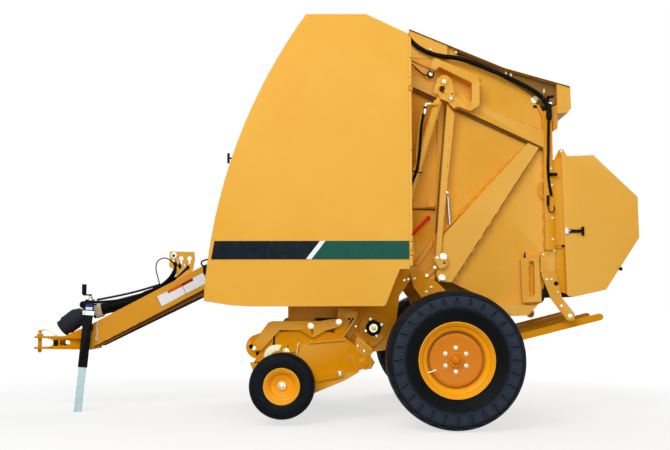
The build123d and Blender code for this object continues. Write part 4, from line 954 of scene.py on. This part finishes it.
# Round pieces along Y: name, body, look, place, distance out, rows of radius and height
KNOBS = (
    ("lever_ball", "frame", "red", (524, 1312), 610,
     ((0, 0), (9, 2), (13, 8), (14, 14), (12, 21), (7, 26), (0, 28))),
    ("lever_pivot", "frame", "zinc", (390, 1175), 598,
     ((0, 0), (14, 0), (14, 18), (11, 22), (11, 32), (0, 34))),
    ("release_pin", "gate", "zinc", (545, 2269), 612,
     ((0, 0), (18, 0), (18, 24), (12, 26), (12, 40), (0, 42))),
    ("release_collar", "gate", "black", (545, 2269), 630, ((15, 0), (24, 0), (24, 12), (15, 12))),
    ("cover_knob", "net_cover", "black", (1758, 973), 660,
     ((0, 0), (9, 0), (9, 8), (12, 10), (12, 16), (8, 18), (0, 18))),
    ("star_washer", "pickup", "zinc", (-402, 444), 752,
     ((0, 0), (20, 0), (20, 2.5), (13, 4), (11, 12), (8, 15), (0, 16))),
    ("roller_end", "gate", "plastic", (1238, 790), 560, ((0, 0), (40, 0), (40, 40), (36, 44), (0, 44))),
    ("crank_boss", "gate", "frame", (624, 2196), 731.5, ((0, 0), (30, 0), (30, 4), (28, 5.5), (0, 5.5))),
    ("bearing_disc", "frame", "lower", BEARING, 598, ((0, 0), (97, 0), (97, 9), (94, 11.5), (0, 11.5))),
)


def add_knobs():
    """Small turned pieces on both sides."""
    for name, body, look, place, out, profile in KNOBS:
        on_sides(name, look, body, lambda bm, side: turned(bm, place, out, side, profile, 32))


# Pieces on the centre line or on one side only: hitch pin, jack fittings, driveline boots
DRIVE_AT = (-1737.0, 722.0)
DRIVE_SLOPE = 0.255
JACK_Y = -185.0
YOKE_START, YOKE_END = (-1925.0, 0.0, 680.0), (-2075.0, 0.0, 569.2)
CYLINDER_TOP, CYLINDER_FOOT = (624.0, 2196.0), (326.0, 1226.0)
CYLINDER_OUT = 698.0
CYLINDER_SLEEVE = ((20.6, 638), (29, 638), (29, 862), (20.6, 862))


def drive_point(x):
    """Point in metres of the driveline's axis."""
    return at(x, 0, DRIVE_AT[1] + (x - DRIVE_AT[0]) * DRIVE_SLOPE)


# Boxes on the leaning, turned jack tube: look, across, deep, and start and end below its top
JACK_TOP = (-1826.0, JACK_Y, 775.0)
JACK_LEAN = math.radians(5)
JACK_TURN = math.radians(15)
JACK_BOXES = (
    ("jack_band_near", "galvanised", (-39, 39), (-39, -31), (76, 106)),
    ("jack_band_far", "galvanised", (-39, 39), (31, 39), (76, 106)),
    ("jack_band_front", "galvanised", (-39, -31), (-31, 31), (76, 106)),
    ("jack_band_rear", "galvanised", (31, 39), (-31, 31), (76, 106)),
    ("jack_sign_high", "blue", (-22, 24), (-32.6, -31), (26, 50)),
    ("jack_sign_low", "white", (-22, 24), (-32.6, -31), (50, 74)),
)


def add_jack_boxes():
    """Zinc band and blank plates of the jack tube."""
    lean_up = Vector((math.sin(JACK_LEAN), 0, math.cos(JACK_LEAN)))
    lean_side = Vector((math.cos(JACK_LEAN), 0, -math.sin(JACK_LEAN)))
    back = Vector((0, 1, 0))
    across = lean_side * math.cos(JACK_TURN) + back * math.sin(JACK_TURN)
    deep = back * math.cos(JACK_TURN) - lean_side * math.sin(JACK_TURN)
    for name, look, (left, right), (near, far), ends in JACK_BOXES:
        bm = bmesh.new()
        rings = []
        for below in ends:
            centre = at(*JACK_TOP) - lean_up * below * MM
            rings.append([bm.verts.new(centre + (across * x + deep * y) * MM)
                          for x, y in ((left, near), (right, near), (right, far), (left, far))])
        join(bm, *rings)
        piece(name, bm, look, "frame")


# Hoses and leads on the left side only: look, radius, control points, held all the way
LEFT_PIPES = (
    ("holder_hoses", "hose", (
        (9, ((-1244, -108, 1052), (-1236, -100, 1000), (-1249, -96, 950), (-1280, -94, 908),
             (-1353, -92, 862), (-1479, -92, 812), (-1600, -92, 775))),
        (7, ((-1212, -108, 1034), (-1203, -100, 992), (-1226, -84, 950), (-1263, -80, 915),
             (-1339, -80, 876), (-1474, -80, 826))),
        (8, ((-1146, -112, 1008), (-1174, -108, 985), (-1209, -102, 951), (-1251, -98, 916),
             (-1335, -96, 872), (-1440, -96, 826))))),
    ("holder_fittings", "zinc", (
        (10, ((-1254, -112, 1062), (-1244, -112, 1040))),
        (9, ((-1222, -112, 1050), (-1212, -110, 1026))),
        (8, ((-1178, -112, 1026), (-1160, -112, 1004))))),
    ("holder_sleeves", "plastic", (
        (13, ((-1248, -111, 1048), (-1238, -104, 1012))),
        (11, ((-1215, -110, 1036), (-1206, -104, 1004))),
        (11, ((-1162, -112, 1012), (-1142, -112, 1004))))),
    ("grey_hose", "bell", (
        (8, ((-1353, -76, 886), (-1479, -72, 846), (-1643, -70, 806), (-1808, -70, 776))),)),
    ("control_wire", "hose", (
        (4, ((-1340, -112, 845), (-1362, -112, 930), (-1380, -112, 990), (-1376, -112, 1046),
             (-1330, -112, 1078), (-1280, -112, 1064), (-1255, -112, 1040))),)),
    ("tongue_hook", "plastic", (
        (6, ((-1030, -144, 1012), (-1046, -144, 1019), (-1051, -144, 1044), (-1026, -144, 1057),
             (-1000, -144, 1062))),)),
    ("jack_chain", "zinc", (
        (4, ((-1786, -146, 622), (-1774, -146, 611), (-1789, -146, 586), (-1776, -146, 549),
             (-1788, -146, 520), (-1791, -146, 495), (-1778, -146, 491), (-1780, -146, 510))),)),
    ("pin_clip", "passivated", (
        (3.5, ((-2235, 0, 552), (-2200, -10, 566), (-2160, -16, 550), (-2130, -20, 528),
               (-2103, -20, 519))),)),
)


def add_left_pipes():
    """Hoses behind the holder plate, the jack's chain and the pin's clip."""
    for name, look, routes in LEFT_PIPES:
        pipes(name, look, "frame", routes)


def add_single_pieces():
    """Fittings of the drawbar and the driveline, and the sleeves of the tailgate's cylinders."""
    up = Vector((0, 0, 1))
    left = Vector((0, -1, 0))
    spindles = (
        ("hitch_pin", "frame", "lower", at(-2235, 0, 396), up,
         ((0, 0), (12, 2), (14, 8), (14, 120), (24, 122), (26, 128), (24, 134), (10, 137), (10, 152),
          (20, 154), (20, 160), (0, 162)), 28),
        ("coupling", "frame", "zinc", at(-1250, -106, 1090), left,
         ((0, 0), (24, 0), (24, 5), (20, 7), (19, 16), (11, 17), (10, 8), (0, 8)), 36),
        ("coupling_mouth", "frame", "black", at(-1250, -113, 1090), left,
         ((0, 0), (10, 0), (10, 2), (0, 2)), 24),
        ("boot_cone", "driveline", "beige", drive_point(-1832), drive_point(-1782) - drive_point(-1832),
         ((44, 0), (57, 0), (57.5, 6), (55, 44), (53, 50), (43, 50)), 48),
        ("guard_ribs", "driveline", "plastic", drive_point(-1730), drive_point(-700) - drive_point(-1730),
         [(42.2 + (1.8 if row % 2 else 0.0), row * 16.0) for row in range(64)], 40),
        ("bell_ribs", "frame", "bell", at(*YOKE_START), at(*YOKE_END) - at(*YOKE_START),
         [(67.0 + (3.6 if row % 3 == 1 else 0.0), 54 + row * 8.0) for row in range(12)], 48),
        ("jack_pin", "frame", "zinc", at(-1852, JACK_Y - 54, 690), Vector((0, 1, 0)),
         ((0, 0), (10, 0), (10, 6), (7, 8), (7, 18), (0, 18)), 20),
        ("jack_cap", "frame", "passivated", at(-1822, JACK_Y, 772), up,
         ((0, 0), (33, 0), (33, 6), (16, 10), (16, 18), (11, 20), (11, 30), (0, 31)), 24),
    )
    for name, body, look, origin, axis, profile, steps in spindles:
        bm = bmesh.new()
        revolve(bm, origin, axis, profile, steps)
        piece(name, bm, look, body)
    barrel = Vector((CYLINDER_FOOT[0] - CYLINDER_TOP[0], 0, CYLINDER_FOOT[1] - CYLINDER_TOP[1]))
    on_sides("cylinder_sleeve", "frame", "barrel_*", lambda bm, side: revolve(
        bm, at(CYLINDER_TOP[0], side * CYLINDER_OUT, CYLINDER_TOP[1]), barrel, CYLINDER_SLEEVE, 40,
        None, True))


HINGE_HOSE_OUT = 675.3
HINGE_HOSE = ((180, 2500), (225, 2530), (280, 2545), (335, 2540), (378, 2522), (406, 2496))


def add_hinge_hoses():
    """Bundle from the front frame over the tailgate's hinge, on no body, with its place baked into its
    mesh.
    """
    for name, side in SIDES:
        points = flat_route(side, HINGE_HOSE_OUT, HINGE_HOSE)
        hose = pipes("hinge_hose_" + name, "hose", None, [(15, points)])
        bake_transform(hose)


# Stripe across the shields: navy, a slash of white and green
STRIPE_LOW, STRIPE_HIGH = 1024.0, 1138.0
STRIPE_FRONT_LOW, STRIPE_FRONT_HIGH = -858.0, -838.0
STRIPE_REAR = 374.0
SLASH_LOW, SLASH_HIGH = -268.0, -180.0
SLASH_WIDTH = 34.0
FILM = 0.6
FILM_SUNK = 0.2


def add_stripes():
    """Coloured films on both shields."""
    face_out = abs(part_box("shield_left")[0].y) / MM
    edges = (("navy", STRIPE_FRONT_LOW, STRIPE_FRONT_HIGH, SLASH_LOW, SLASH_HIGH),
             ("white", SLASH_LOW, SLASH_HIGH, SLASH_LOW + SLASH_WIDTH, SLASH_HIGH + SLASH_WIDTH),
             ("green", SLASH_LOW + SLASH_WIDTH, SLASH_HIGH + SLASH_WIDTH, STRIPE_REAR, STRIPE_REAR))
    for look, front_low, front_high, rear_low, rear_high in edges:
        points = ((front_low, STRIPE_LOW), (rear_low, STRIPE_LOW), (rear_high, STRIPE_HIGH),
                  (front_high, STRIPE_HIGH))
        on_sides("stripe_" + look, look, "shield_*", lambda bm, side: prism(
            bm, points, face_out - FILM_SUNK, face_out + FILM, side))


# Floor, light and world
FLOOR_REACH = 60.0
FLOOR_DROP = -0.001
FLOOR_NEAR, FLOOR_FAR = 2.5, 8.0
FLOOR_PAINT = 0.35
FLOOR_GLOW_NEAR, FLOOR_GLOW_FAR = 0.68, 1.0
SKY_LOW, SKY_HIGH = 0.12, 0.46
LAMPS = (
    ("key", (-2.2, -6.6, 5.2), 4.0, 285.0),
    ("front", (1.5, -8.0, 2.0), 5.0, 195.0),
    ("back", (2.0, 6.0, 5.0), 6.0, 260.0),
)
LAMP_TARGET = Vector((0.1, 0, 1.1))


def add_floor():
    """Plain pale floor that keeps the shadow near the object and fades to white away from it."""
    mesh = bpy.data.meshes.new("floor")
    corners = [(x * FLOOR_REACH, y * FLOOR_REACH, FLOOR_DROP)
               for x, y in ((-1, -1), (1, -1), (1, 1), (-1, 1))]
    mesh.from_pydata(corners, [], [(0, 1, 2, 3)])
    floor = new_object("floor", mesh)
    nodes = Nodes("floor")
    set_inputs(nodes.shader, {
        "Base Color": (FLOOR_PAINT, FLOOR_PAINT, FLOOR_PAINT, 1), "Roughness": 0.95,
        "Specular IOR Level": 0.0, "Emission Color": (1, 1, 1, 1)})
    length = nodes.vector_math("LENGTH", nodes.place).outputs["Value"]
    glow = nodes.ramp(length, FLOOR_NEAR, FLOOR_FAR, FLOOR_GLOW_NEAR, FLOOR_GLOW_FAR)
    nodes.link(nodes.combined("MULTIPLY", glow, nodes.seen_ray()),
               nodes.shader.inputs["Emission Strength"])
    mesh.materials.append(nodes.material)


def add_stage():
    """Floor, soft lights and a world that shows white and lights more from above."""
    add_floor()
    world = bpy.data.worlds.new("studio")
    world.use_nodes = True
    bpy.context.scene.world = world
    nodes = Tree(world.node_tree)
    background = world.node_tree.nodes["Background"]
    background.inputs["Color"].default_value = (1, 1, 1, 1)
    parts = nodes.new("ShaderNodeSeparateXYZ")
    nodes.link(nodes.new("ShaderNodeTexCoord").outputs["Generated"], parts.inputs["Vector"])
    sky = nodes.ramp(parts.outputs["Z"], 0.0, 1.0, SKY_LOW, SKY_HIGH)
    nodes.link(nodes.combined("MAXIMUM", sky, nodes.seen_ray()), background.inputs["Strength"])
    for name, place, size, energy in LAMPS:
        data = bpy.data.lights.new(name, "AREA")
        data.size = size
        data.energy = energy
        lamp = new_object(name, data)
        lamp.location = place
        lamp.rotation_euler = (LAMP_TARGET - Vector(place)).to_track_quat("-Z", "Y").to_euler()
    bpy.context.scene.view_settings.view_transform = "Standard"


add_camera()
dress_cad_nodes()
add_wheels()
add_bearings()
add_fasteners()
add_welds()
add_plates()
add_signs()
add_rods()
add_knobs()
add_jack_boxes()
add_left_pipes()
add_single_pieces()
add_hinge_hoses()
add_stripes()
add_stage()
